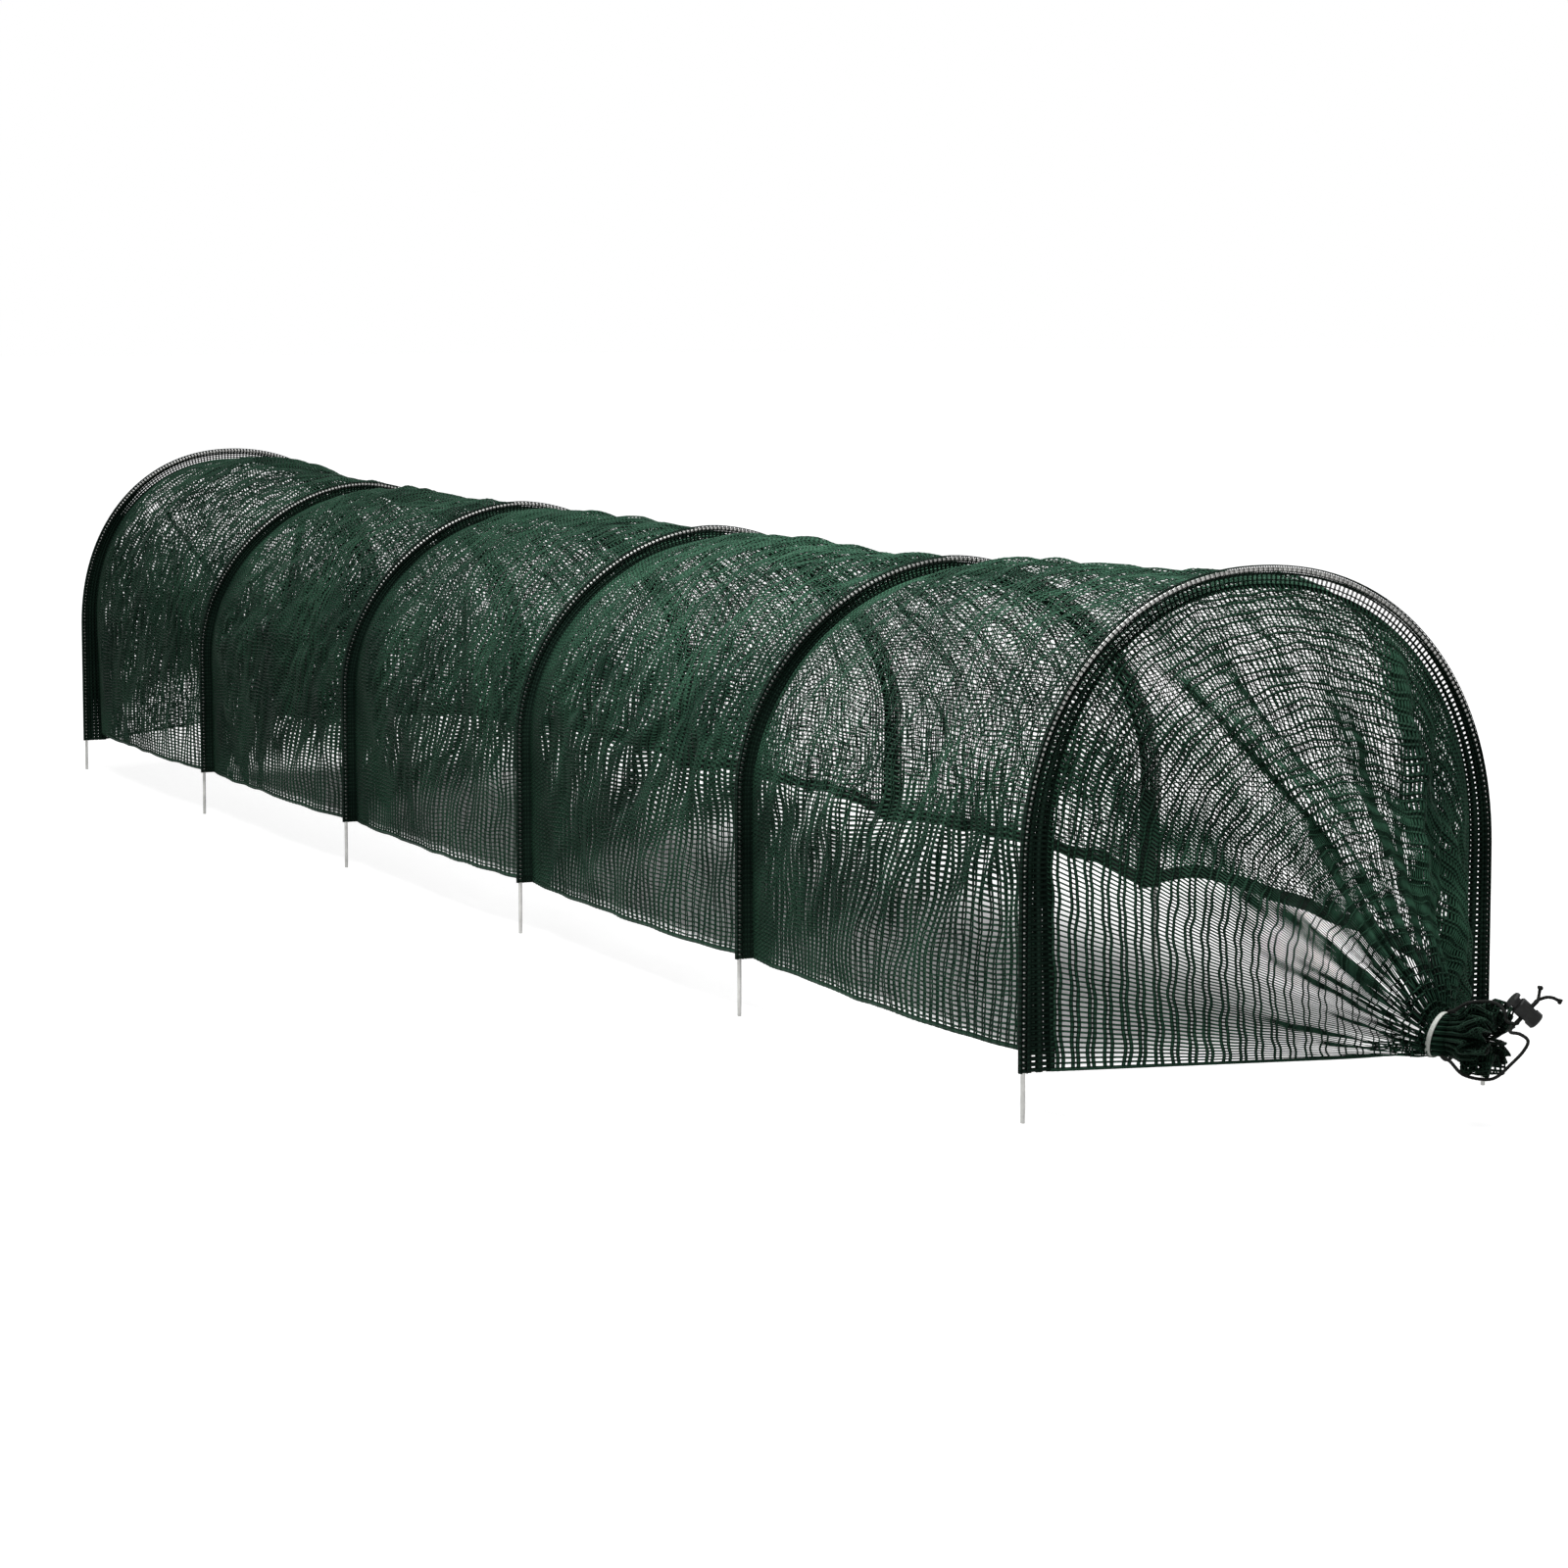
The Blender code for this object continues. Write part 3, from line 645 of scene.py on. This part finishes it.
def build_bay(number, paint):
    """Netting of one bay, thread by thread."""
    point, run, long = bay_surface(number)
    threads = Threads((run, long))
    thin = round(long / THIN_PITCH)
    pairs = round(run / PAIR_PITCH)
    over = (np.arange(thin) + 0.5) / thin
    lay_threads(threads, point, over, THIN_WIDTH, THIN_STEPS, True, number, 100,
                lambda s: pairs * (s + CROWDING * np.sin(math.pi * s) ** 2))
    middle = (np.arange(pairs) + 0.5) / pairs
    middle = middle - CROWDING * np.sin(math.pi * middle) ** 2
    across = np.sort(np.concatenate([middle - PAIR_GAP / 2 / run, middle + PAIR_GAP / 2 / run]))
    lay_threads(threads, point, across, PAIR_WIDTH, PAIR_STEPS, False, number, 200,
                lambda t: thin * t)
    hem = HEM_WIDTH / 2 / long
    t, s = np.meshgrid([hem, 1 - hem, 1 - 3 * hem, 1 - 5 * hem],
                       np.linspace(0.0, 1.0, HEM_STEPS), indexing="ij")
    threads.lay(point, 1.0, s, t, WEAVE_OFFSET, HEM_WIDTH)
    piece = stand_in(threads.build(f"netting_{number}", paint), f"netting_bay_{number}",
                     number)
    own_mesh(piece)


def build_casing(number, paint):
    """Tuck of netting round one wire: threads that go up one side of the fin, round the
    wire and down the other side, and stitch lines along it."""
    style = hoop_style(number)
    outline = Outline(style, HEM_Z - style["drop"])
    reach = 1 - foot_lift(number) / outline.length
    count = round(reach * outline.length / CASING_PITCH)
    threads = Threads((0.09, outline.length))
    last = number == HOOP_COUNT
    lines, round_width, along_width = FRONT_CASING if last else OTHER_CASINGS
    sleeve = CASING_R - SLEEVE_INSET

    def lay(t, rows, width, spots, across):
        """Threads through rows of (depth, place along, facing inward, facing along)."""
        y, z, in_y, in_z, fin = outline.at(t)
        places = np.stack([
            np.stack([hoop_x(number) + along + 0 * y, y + in_y * depth,
                      z + in_z * depth], axis=-1) for depth, along, _, _ in rows(fin)])
        normals = np.stack([
            np.stack([facing_along + 0 * y, in_y * facing_in, in_z * facing_in],
                     axis=-1) for _, _, facing_in, facing_along in rows(fin)])
        height = np.clip((z - HEM_Z) / style["crest"], 0.0, 1.0)
        slim = smooth(height, 0.35, 0.95) if last else np.where(
            t > 0.5, smooth(height, 0.10, 0.45), smooth(height, 0.55, 1.0))
        wide = width[0] + width[1] * (1 - slim[None, :]) + np.zeros(places.shape[:2])
        flat = np.stack(np.broadcast_arrays(spots[:, None], t[None, :] * outline.length),
                        axis=-1)
        if across:
            places, normals = places.swapaxes(0, 1), normals.swapaxes(0, 1)
            flat, wide = flat.swapaxes(0, 1), wide.T
        threads.add(places, normals, flat, wide, CASING_RISE,
                    PLAIN_BEAT if across else t[None, :] / reach * count)

    def fin_rows(side, shares):
        return lambda fin: [(fin - (fin - CASING_R - sleeve) * share, side * FIN_HALF, 0.0,
                             side) for share in shares]

    def sleeve_rows(angles, out):
        return lambda fin: [(CASING_R + out * math.cos(angle), out * math.sin(angle),
                             math.cos(angle), math.sin(angle)) for angle in angles]

    shares = (np.arange(count) + 0.5) / count * reach
    turn = np.radians(np.linspace(30, 330, 9))
    lay(shares, lambda fin: (fin_rows(1.0, (0.0, 0.5, 1.0))(fin)
                             + sleeve_rows(turn, sleeve)(fin)
                             + fin_rows(-1.0, (1.0, 0.5, 0.0))(fin)),
        round_width, np.linspace(0.0, 0.045, 15), True)
    t = np.linspace(0.0, reach, PAIR_STEPS)
    for side in (1.0, -1.0):
        lay(t, fin_rows(side, lines), along_width, np.linspace(0.05, 0.06, len(lines)), False)
    lay(t, fin_rows(0.3, (0.06,)), FIN_EDGE, np.array([0.065]), False)
    lay(t, sleeve_rows(np.radians(SLEEVE_ANGLES), sleeve + CLEAR), SLEEVE_LINES,
        np.linspace(0.07, 0.085, 4), False)
    stand_in(threads.build(f"casing_net_{number}", paint), f"casing_{number}", number)


def build_wire(number, paint):
    """Bent wire of one hoop: a round tube, cut square at its tips."""
    outline = Outline(hoop_style(number), 0.0)
    y, z, in_y, in_z, _ = outline.at(np.linspace(0.0, 1.0, WIRE_STEPS))
    points = np.stack([hoop_x(number) + 0 * y, y + in_y * CASING_R,
                       z + in_z * CASING_R, 0 * y + 1.0], axis=-1)
    data = bpy.data.curves.new(f"wire_{number}", "CURVE")
    data.dimensions = "3D"
    data.bevel_depth = WIRE_D / 2
    data.bevel_resolution = 4
    data.use_fill_caps = True
    line = data.splines.new("POLY")
    line.points.add(len(points) - 1)
    line.points.foreach_set("co", points.ravel())
    line.use_smooth = True
    stand_in(add_object(f"wire_{number}", data, paint), f"hoop_{number}", number)


class Gather:
    """Frame of a gathered end: forward along the gather, near-side and up. The rear end's
    is the front end's mirrored."""

    def __init__(self, side):
        self.side = side
        self.hoop = HOOP_COUNT if side > 0 else 1
        self.outline = Outline(END_HOOP, HEM_Z - END_HOOP["drop"])
        self.centre = Vector((side * (hoop_x(HOOP_COUNT) + NECK_REACH), NECK_SIDE,
                              HEM_Z + NECK_LIFT))
        self.forward = Vector((side * math.cos(GATHER_YAW), math.sin(GATHER_YAW), 0.0))
        self.near = Vector((side * math.sin(GATHER_YAW), -math.cos(GATHER_YAW), 0.0))
        self.up = Vector((0.0, 0.0, 1.0))

    def heading(self, forward, near, up):
        """A direction given by its shares."""
        return self.forward * forward + self.near * near + self.up * up

    def point(self, forward, near, up):
        """A point given from the neck's start."""
        return self.centre + self.forward * forward + self.near * near + self.up * up

    def round_neck(self, forward, radius, angle):
        """Arrays of points by their place along the neck's axis, radius and angle."""
        near, up = radius * np.sin(angle), radius * np.cos(angle)
        return (np.array(self.centre) + forward[..., None] * np.array(self.forward)
                + near[..., None] * np.array(self.near) + up[..., None] * np.array(self.up))


def neck_folds(t):
    """Uneven folds of gathered cloth at shares t round it, from -1 to 1."""
    seed, count, spread = NECK_FOLDS
    random = np.random.default_rng(seed)
    shift = sum(spread / order * np.sin(TAU * (order * t + random.random()))
                for order in (3, 5, 8, 13))
    return np.cos(TAU * (count * t + shift))


def end_surface(end):
    """Function that places shares (along, over) of one skirt: 0 to 1 from the casing to
    the neck, and past 1 along the neck."""
    start_x = hoop_x(HOOP_COUNT) + SEAM_GAP

    def spread(s, t):
        inner = np.clip(s, 0.0, 1.0)
        for middle, wide, deep, start, drift in CREASES:
            crowd = 40 * abs(deep) * smooth(inner, start, start + 0.15) * (1 - inner)
            off = t - middle - drift * inner ** DRIFT_POWER
            t = t - crowd * off * np.exp(-(off / (1.6 * wide)) ** 2)
        beyond = np.clip(s - 1.0, 0.0, None)
        y, z, in_y, in_z, fin = end.outline.at(np.clip(t, 0.0, 1.0))
        depth = fin - NET_SEAT
        foot = np.stack([end.side * start_x + 0 * y, y + in_y * depth,
                         z + in_z * depth], axis=-1)
        angle = (0.5 - t) * TAU * PLEAT_WRAP
        tight = np.clip((inner - 0.7) / 0.3, 0.0, 1.0) ** 2
        radius = (NECK_R - NECK_TAPER * tight
                  + (NECK_FOLD + NECK_DEEPEN * tight) * inner ** 8 * neck_folds(t))
        ring = end.round_neck(beyond, radius, angle)
        share = inner[..., None]
        return foot * (1 - share) + ring * share

    def point(s, t):
        inner = np.clip(s, 0.0, 1.0)
        _, normals = surface_frame(spread, s, t)
        arc = np.sin(math.pi * inner)
        edge = smooth(np.minimum(t, 1 - t), 0.0, 0.03)
        angle = (0.5 - t) * TAU * PLEAT_WRAP
        fold = SKIRT_FOLD * arc * np.cos(PLEATS * angle) * smooth(t, 0.05, 0.3)
        fold = fold + PUCKER * np.sin(math.pi * inner ** 10) * neck_folds(t)
        u, v = inner * SKIRT_LEN, t * PATTERN_ARCH
        fold = fold + SKIRT_CRUMPLE * arc * ripple(u, v, 93, *CRUMPLE_WAVES)
        fold = fold + SKIRT_SLACK * arc * ripple(u, v, 91, 0.25, 0.07)
        for middle, wide, deep, start, drift in CREASES:
            off = t - middle - drift * inner ** DRIFT_POWER
            crest = np.exp(-((off - 0.012 * arc) / wide) ** 2)
            reach = np.clip((inner - start) / (1 - start), 0.0, 1.0)
            fold = fold + (deep * crest * np.sin(math.pi * reach)
                           * (1 - 0.8 * smooth(reach, 0.3, 0.8)))
        return spread(s, t) + normals * (end.side * edge * fold)[..., None]

    return point


def skirt_fullness(s, t):
    """How thick the skirt's threads look: thin low on the near side, where it is taut, and
    towards the neck, where folds hide a part of them."""
    near = 1 - smooth(t, 0.30, 0.40)
    high = smooth(t, 0.38, 0.46) * (1 - smooth(t, 0.58, 0.68))
    full = 0.88 + 0.10 * smooth(t, 0.16, 0.24) * (1 - smooth(t, 0.26, 0.34))
    full = full + 0.24 * smooth(t, 0.58, 0.68) - 0.14 * smooth(t, 0.26, 0.34)
    full = full + (0.20 * (1 - smooth(t, 0.05, 0.10))
                   + 0.10 * (1 - smooth(s, 0.15, 0.40))) * (1 - smooth(t, 0.14, 0.2))
    full = full * (1 - 0.55 * near * smooth(s, 0.35, 0.85))
    full = full * (1 - 0.38 * high * smooth(s, 0.4, 0.9))
    for middle, wide, deep, start, drift in CREASES:
        if deep > 0.01:
            off = t - middle - drift * np.clip(s, 0.0, 1.0) ** DRIFT_POWER
            crest = np.exp(-(off / (0.8 * wide * (1 + 0.6 * s ** 2))) ** 2)
            full = full * (1 + 0.7 * crest * smooth(s, start, start + 0.15))
    uneven = ripple(s * SKIRT_LEN, t * PATTERN_ARCH, 95, 0.12, 0.04)
    return full * (1 + 0.22 * smooth(t, 0.15, 0.25) * uneven)


def build_skirt(end, tag, paint):
    """Skirt of netting from the end casing to the neck."""
    point = end_surface(end)
    long = end.outline.length
    threads = Threads((SKIRT_LEN, long))
    count = round(long / THIN_PITCH)
    pairs = round(SKIRT_LEN / SKIRT_PITCH)
    over = (np.arange(count) + 0.5) / count
    along = np.concatenate([np.linspace(0.0, 1.0, SKIRT_STEPS), [1.0 + NECK_LEN]])
    t, s = np.meshgrid(over, along, indexing="ij")
    full = skirt_fullness(s, t)
    taut = full * (1 - 0.30 * (1 - smooth(t, 0.15, 0.24)))
    threads.lay(point, end.side, s, t, -WEAVE_OFFSET, SKIRT_THIN * taut, beat=pairs * s,
                full=full)
    middle = (np.arange(pairs) + 0.5) / pairs
    gap = SKIRT_GAP / 2 / SKIRT_LEN
    s, t = np.meshgrid(np.sort(np.concatenate([middle - gap, middle + gap])),
                       np.linspace(0.0, 1.0, OVER_STEPS), indexing="ij")
    stray = ripple(s * SKIRT_LEN, t * long, 97, 0.10, 0.03)
    s = s + SKIRT_STRAY * stray * smooth(1 - s, 0.0, 0.1)
    full = skirt_fullness(s, t)
    threads.lay(point, end.side, s, t, WEAVE_OFFSET, SKIRT_PAIR * full, SKIRT_RISE, count * t,
                full)
    edge = SKIRT_EDGE / 2 / long
    t, s = np.meshgrid([edge, 1 - edge], along, indexing="ij")
    threads.lay(point, end.side, s, t, WEAVE_OFFSET, SKIRT_EDGE)
    piece = stand_in(threads.build(f"skirt_net_{tag}", paint), f"end_skirt_{tag}", end.hoop)


def build_ruffle(end, tag, paint):
    """Loose netting beyond the neck, in deep uneven folds."""
    long = end.outline.length
    threads = Threads((RUFFLE_LEN, long))

    def point(s, t):
        angle = (0.5 - t) * TAU * PLEAT_WRAP
        swell = smooth(s, 0.0, 0.75)
        petals = ripple(TAU * t, 0.6 * s, 77, 1.6, 0.5)
        middle = NECK_R - NECK_TAPER + 0.0100 * swell + 0.004 * swell * petals
        radius = middle + (0.0042 + 0.0048 * swell) * neck_folds(t)
        angle = angle + 0.10 * swell * ripple(TAU * t, s, 79, 0.9, 0.3)
        forward = (NECK_LEN + CLEAR + RUFFLE_LEN * (0.86 * s - 0.10 * s ** 3)
                   + 0.006 * swell * ripple(TAU * t, s, 78, 1.1, 0.4))
        return end.round_neck(forward, radius, angle)

    count = round(long / THIN_PITCH)
    t, s = np.meshgrid((np.arange(count) + 0.5) / count, np.linspace(0, 1, RUFFLE_STEPS),
                       indexing="ij")
    threads.lay(point, end.side, s, t, 0.0, THIN_WIDTH)
    s, t = np.meshgrid(RUFFLE_ROWS, np.linspace(0, 1, OVER_STEPS), indexing="ij")
    threads.lay(point, end.side, s, t, WEAVE_OFFSET, PAIR_WIDTH, beat=count * t)
    piece = stand_in(threads.build(f"ruffle_net_{tag}", paint), f"ruffle_{tag}", end.hoop)


def build_tie(end, tag, paint):
    """Flat woven tie wound round the neck, a little aslant."""
    within = NECK_R + NECK_FOLD + NET_THICK / 2 + CLEAR
    angle = np.linspace(0.0, TAU, 97)[:-1]
    profile = []
    for step in range(TIE_SIDES):
        turn = TAU * (step + 0.5) / TIE_SIDES
        side, rise = (math.copysign(abs(share) ** power, share) for share, power in
                      zip((math.cos(turn), math.sin(turn)), TIE_SQUARE))
        radius = within + TIE_THICK / 2 * (1 + rise)
        forward = TIE_AT + TIE_SHIFT + TIE_SLANT * np.cos(angle) + TIE_WIDTH / 2 * side
        profile.append(end.round_neck(forward, radius, angle))
    stand_in(swept(f"tie_band_{tag}", np.stack(profile, axis=1), True, paint),
             f"neck_tie_{tag}", end.hoop)


def swept(name, rings, closed, paint):
    """Smooth mesh through rings of points, closed on itself or with capped ends."""
    count, sides, _ = rings.shape
    index = np.arange(count * sides).reshape(count, sides)
    here, after = (index, np.roll(index, -1, 0)) if closed else (index[:-1], index[1:])
    faces = np.stack([here, after, np.roll(after, -1, 1), np.roll(here, -1, 1)],
                     axis=-1).reshape(-1, 4).tolist()
    if not closed:
        faces += [index[0].tolist(), index[-1, ::-1].tolist()]
    data = bpy.data.meshes.new(name)
    data.from_pydata(rings.reshape(-1, 3).tolist(), [], faces)
    data.validate()
    shell = bmesh.new()
    shell.from_mesh(data)
    bmesh.ops.recalc_face_normals(shell, faces=shell.faces)
    shell.to_mesh(data)
    shell.free()
    data.shade_smooth()
    return add_object(name, data, paint)


def gone_along(points):
    """Distance along a line of points, at each of them."""
    return np.concatenate([[0.0], np.cumsum(np.linalg.norm(np.diff(points, axis=0), axis=1))])


def tube_rings(points, radius, sides, closed=False):
    """Rings round a line of points; radius is a function of (distance along, angle)."""
    points = np.array([list(point) for point in points])
    if closed:
        run = unit(np.roll(points, -1, 0) - np.roll(points, 1, 0))
    else:
        run = unit(np.gradient(points, axis=0))
    gone = gone_along(points)
    side = unit(np.cross(run[0], (0.3, 0.5, 0.8)))
    angle = np.linspace(0.0, TAU, sides, endpoint=False)
    rings = []
    for place, way, along in zip(points, run, gone):
        side = unit(side - way * side.dot(way))
        over = np.cross(way, side)
        out = side * np.cos(angle)[:, None] + over * np.sin(angle)[:, None]
        rings.append(place + out * radius(along, angle)[:, None])
    return np.array(rings)


def braid_relief(radius):
    """Radius of a braided cord: strands that cross both ways round it."""
    def relief(along, angle):
        turn = TAU * along / BRAID_TURN
        return radius - BRAID_DEPTH * (1 - np.cos(3 * angle + turn) * np.cos(3 * angle - turn))

    return relief


def smooth_route(points, spacing):
    """Points at an even spacing along a Catmull-Rom curve through the route's points."""
    fine = []
    padded = [points[0] * 2 - points[1], *points, points[-1] * 2 - points[-2]]
    for first, second, third, fourth in zip(padded, padded[1:], padded[2:], padded[3:]):
        for step in range(ROUTE_STEPS):
            share = step / ROUTE_STEPS
            fine.append(0.5 * ((second * 2) + (third - first) * share
                               + (first * 2 - second * 5 + third * 4 - fourth) * share ** 2
                               + (second * 3 - first - third * 3 + fourth) * share ** 3))
    fine.append(points[-1])
    fine = np.array([list(point) for point in fine])
    gone = gone_along(fine)
    even = np.linspace(0.0, gone[-1], max(2, round(gone[-1] / spacing)) + 1)
    return np.stack([np.interp(even, gone, fine[:, axis]) for axis in range(3)], axis=-1)


def lock_frame(end):
    """Cord lock's place: its foot's centre, its strands along X and its stem along Z."""
    crossing = end.point(*LOCK_AT)
    stem = end.heading(*LOCK_STEM).normalized()
    through = end.heading(*LOCK_THROUGH)
    through = (through - stem * through.dot(stem)).normalized()
    across = stem.cross(through)
    place = Matrix((through, across, stem)).transposed().to_4x4()
    place.translation = crossing - stem * LOCK_CORD_AT
    return place


def cord_route(end):
    """Route of the drawstring, tail to tail: lock, over the ruffle, round the neck,
    under the ruffle, a slack loop, and through the lock again."""
    place = lock_frame(end)
    strand = (CORD_D + LOCK_STRAND_GAP) / 2

    def in_lock(along, side):
        return place @ Vector((along, side * strand, LOCK_CORD_AT))

    def spots(places):
        return [end.point(*one) for one in places]

    through = [*LOCK_STRAIGHT, *(-along for along in reversed(LOCK_STRAIGHT))]
    wrap_r = NECK_R + NECK_FOLD + NET_THICK / 2 + CORD_D / 2 + 2 * CLEAR
    wrap = [-math.radians(turn) for turn in range(0, WRAP_TURN + 1, WRAP_STEP)]
    return [*spots(FIRST_TAIL), *(in_lock(along, -end.side) for along in through),
            *spots(OVER_RUFFLE),
            *spots((CORD_WRAP_AT, wrap_r * math.sin(turn), wrap_r * math.cos(turn))
                   for turn in wrap),
            *spots(UNDER_RUFFLE), *(in_lock(along, end.side) for along in reversed(through)),
            *spots(SECOND_TAIL)]


def build_cord(end, tag, paint):
    """Braided drawstring, and the knot on each of its tails."""
    points = smooth_route(cord_route(end), BRAID_STEP)
    for number, (tip, before) in enumerate(((points[0], points[1]), (points[-1], points[-2])), 1):
        way = Vector(tip - before).normalized()
        turn = way.to_track_quat("Z", "Y").to_matrix().to_4x4()
        turn.translation = Vector(tip) + way * (KNOT_R + CLEAR)
        line = []
        for step in range(KNOT_STEPS):
            angle = TAU * step / KNOT_STEPS
            line.append(turn @ Vector((
                KNOT_LOBE * (math.sin(angle) + 2 * math.sin(2 * angle)),
                KNOT_LOBE * (math.cos(angle) - 2 * math.cos(2 * angle)),
                -1.6 * KNOT_LOBE * math.sin(3 * angle))))
        rings = tube_rings(line, braid_relief(KNOT_STRAND_R), 24, True)
        stand_in(swept(f"knot_{number}_{tag}", rings, True, paint),
                              f"cord_knot_{number}_{tag}", end.hoop)
    into_knots = [points[0] + (points[0] - points[1]) / BRAID_STEP * KNOT_R, *points,
                  points[-1] + (points[-1] - points[-2]) / BRAID_STEP * KNOT_R]
    cord = stand_in(swept(f"cord_{tag}", tube_rings(into_knots, braid_relief(CORD_D / 2), 30),
                          False, paint), f"drawstring_{tag}", end.hoop)
    tuple(end.point(*CORD_EXIT))


def squash_spring(end, tag):
    """Give the lock's spring a mesh of its own."""
    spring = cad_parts[f"lock_spring_{tag}"]
    stem = end.heading(*LOCK_STEM).normalized()
    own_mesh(spring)


def seen_directly(tree):
    """1 for rays that show the backdrop itself or its reflection, else 0."""
    path = node(tree, "LightPath").outputs
    shown = combine(tree, "MAXIMUM", path["Is Camera Ray"], path["Is Glossy Ray"])
    return combine(tree, "MAXIMUM", shown, path["Is Transmission Ray"])


def glow_outside_painted_shadow(tree):
    """1 on the floor beside the tunnel, 0 on the floor under it, where a shadow is painted
    by taking the floor's glow away.
    """
    place = node(tree, "TexCoord").outputs["Object"]
    parts = node(tree, "SeparateXYZ", Vector=place).outputs
    lit = 0.0
    for axis, start, stop in PAINTED_SHADOW_EDGES:
        step = grade(tree, parts[axis], 0.0, 1.0, start, stop)
        step.node.interpolation_type = "SMOOTHSTEP"
        lit = combine(tree, "MAXIMUM", lit, step)
    return lit


def aimed(name, data, way, place=(0.0, 0.0, 0.0)):
    """Link a lamp or a camera to the scene at a place, facing along a direction."""
    item = add_object(name, data)
    item.location = place
    item.rotation_mode = "QUATERNION"
    item.rotation_quaternion = Vector(way).to_track_quat("-Z", "Y")
    return item


def white(tree, kind, strength):
    """A white background or emission, of a strength that is a number or a socket."""
    return node(tree, kind, Color=(1.0, 1.0, 1.0, 1.0), Strength=strength).outputs[0]


def cleared(owner):
    """Node tree of a world or a material, emptied."""
    owner.use_nodes = True
    owner.node_tree.nodes.clear()
    return owner.node_tree


def build_studio():
    """Camera, soft light, white surroundings and a pale floor, with a shadow painted under
    the tunnel.
    """
    scene = bpy.context.scene
    eye = bpy.data.cameras.new("camera")
    eye.lens = CAMERA_LENS
    eye.sensor_width = CAMERA_SENSOR
    eye.clip_end = 100.0
    level = math.cos(CAMERA_DIP)
    way = (-math.cos(CAMERA_YAW) * level, math.sin(CAMERA_YAW) * level, -math.sin(CAMERA_DIP))
    scene.camera = aimed("camera", eye, way, CAMERA_AT)

    scene.world = bpy.data.worlds.new("studio")
    tree = cleared(scene.world)
    mix = node(tree, "MixShader", Fac=seen_directly(tree))
    tree.links.new(white(tree, "Background", WORLD_LIGHT), mix.inputs[1])
    tree.links.new(white(tree, "Background", 1.0), mix.inputs[2])
    node(tree, "OutputWorld", Surface=mix.outputs[0])

    lamp = bpy.data.lights.new("key", "AREA")
    lamp.shape = "DISK"
    lamp.size = KEY_SIZE
    lamp.energy = KEY_POWER
    key = aimed("key", lamp, Vector(KEY_AIM) - Vector(KEY_AT), KEY_AT)
    key.visible_camera = False
    lamp = bpy.data.lights.new("overhead", "SUN")
    lamp.energy = OVERHEAD_POWER
    lamp.angle = math.radians(OVERHEAD_SPREAD)
    aimed("overhead", lamp, OVERHEAD_WAY)

    floor_paint = bpy.data.materials.new("pale_floor")
    tree = cleared(floor_paint)
    matte = node(tree, "BsdfDiffuse", Color=(FLOOR_GREY, FLOOR_GREY, FLOOR_GREY, 1.0))
    seen = combine(tree, "MULTIPLY", seen_directly(tree), FLOOR_GLOW)
    # Painted shadow: the floor's glow is taken away under the tunnel, deepening the real shadow
    # that its matte part keeps.
    glow = combine(tree, "MULTIPLY", seen, glow_outside_painted_shadow(tree))
    both = node(tree, "AddShader")
    tree.links.new(matte.outputs[0], both.inputs[0])
    tree.links.new(white(tree, "Emission", glow), both.inputs[1])
    node(tree, "OutputMaterial", Surface=both.outputs[0])
    data = bpy.data.meshes.new("floor")
    far = FLOOR_REACH
    data.from_pydata([(-far, -far, 0), (far, -far, 0), (far, far, 0), (-far, far, 0)], [],
                     [(0, 1, 2, 3)])
    add_object("floor", data, floor_paint)
    scene.view_settings.view_transform = "Standard"


def build():
    """Make every piece and the studio."""
    build_studio()
    paints = make_paints()
    ends = {"front": Gather(1.0), "rear": Gather(-1.0)}
    for tag, end in ends.items():
        build_cord(end, tag, paints["cord"])
    for number in range(1, HOOP_COUNT + 1):
        build_wire(number, paints["wire"])
        build_casing(number, paints["band"])
    for number in range(1, HOOP_COUNT):
        build_bay(number, paints["net"])
    for tag, end in ends.items():
        build_skirt(end, tag, paints["net"])
        build_ruffle(end, tag, paints["bunch"])
        build_tie(end, tag, paints["tie"])
        for piece, paint in (("barrel", "moulded"), ("plunger", "moulded"), ("spring", "wire")):
            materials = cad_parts[f"lock_{piece}_{tag}"].data.materials
            materials.clear()
            materials.append(paints[paint])
        squash_spring(end, tag)


build()
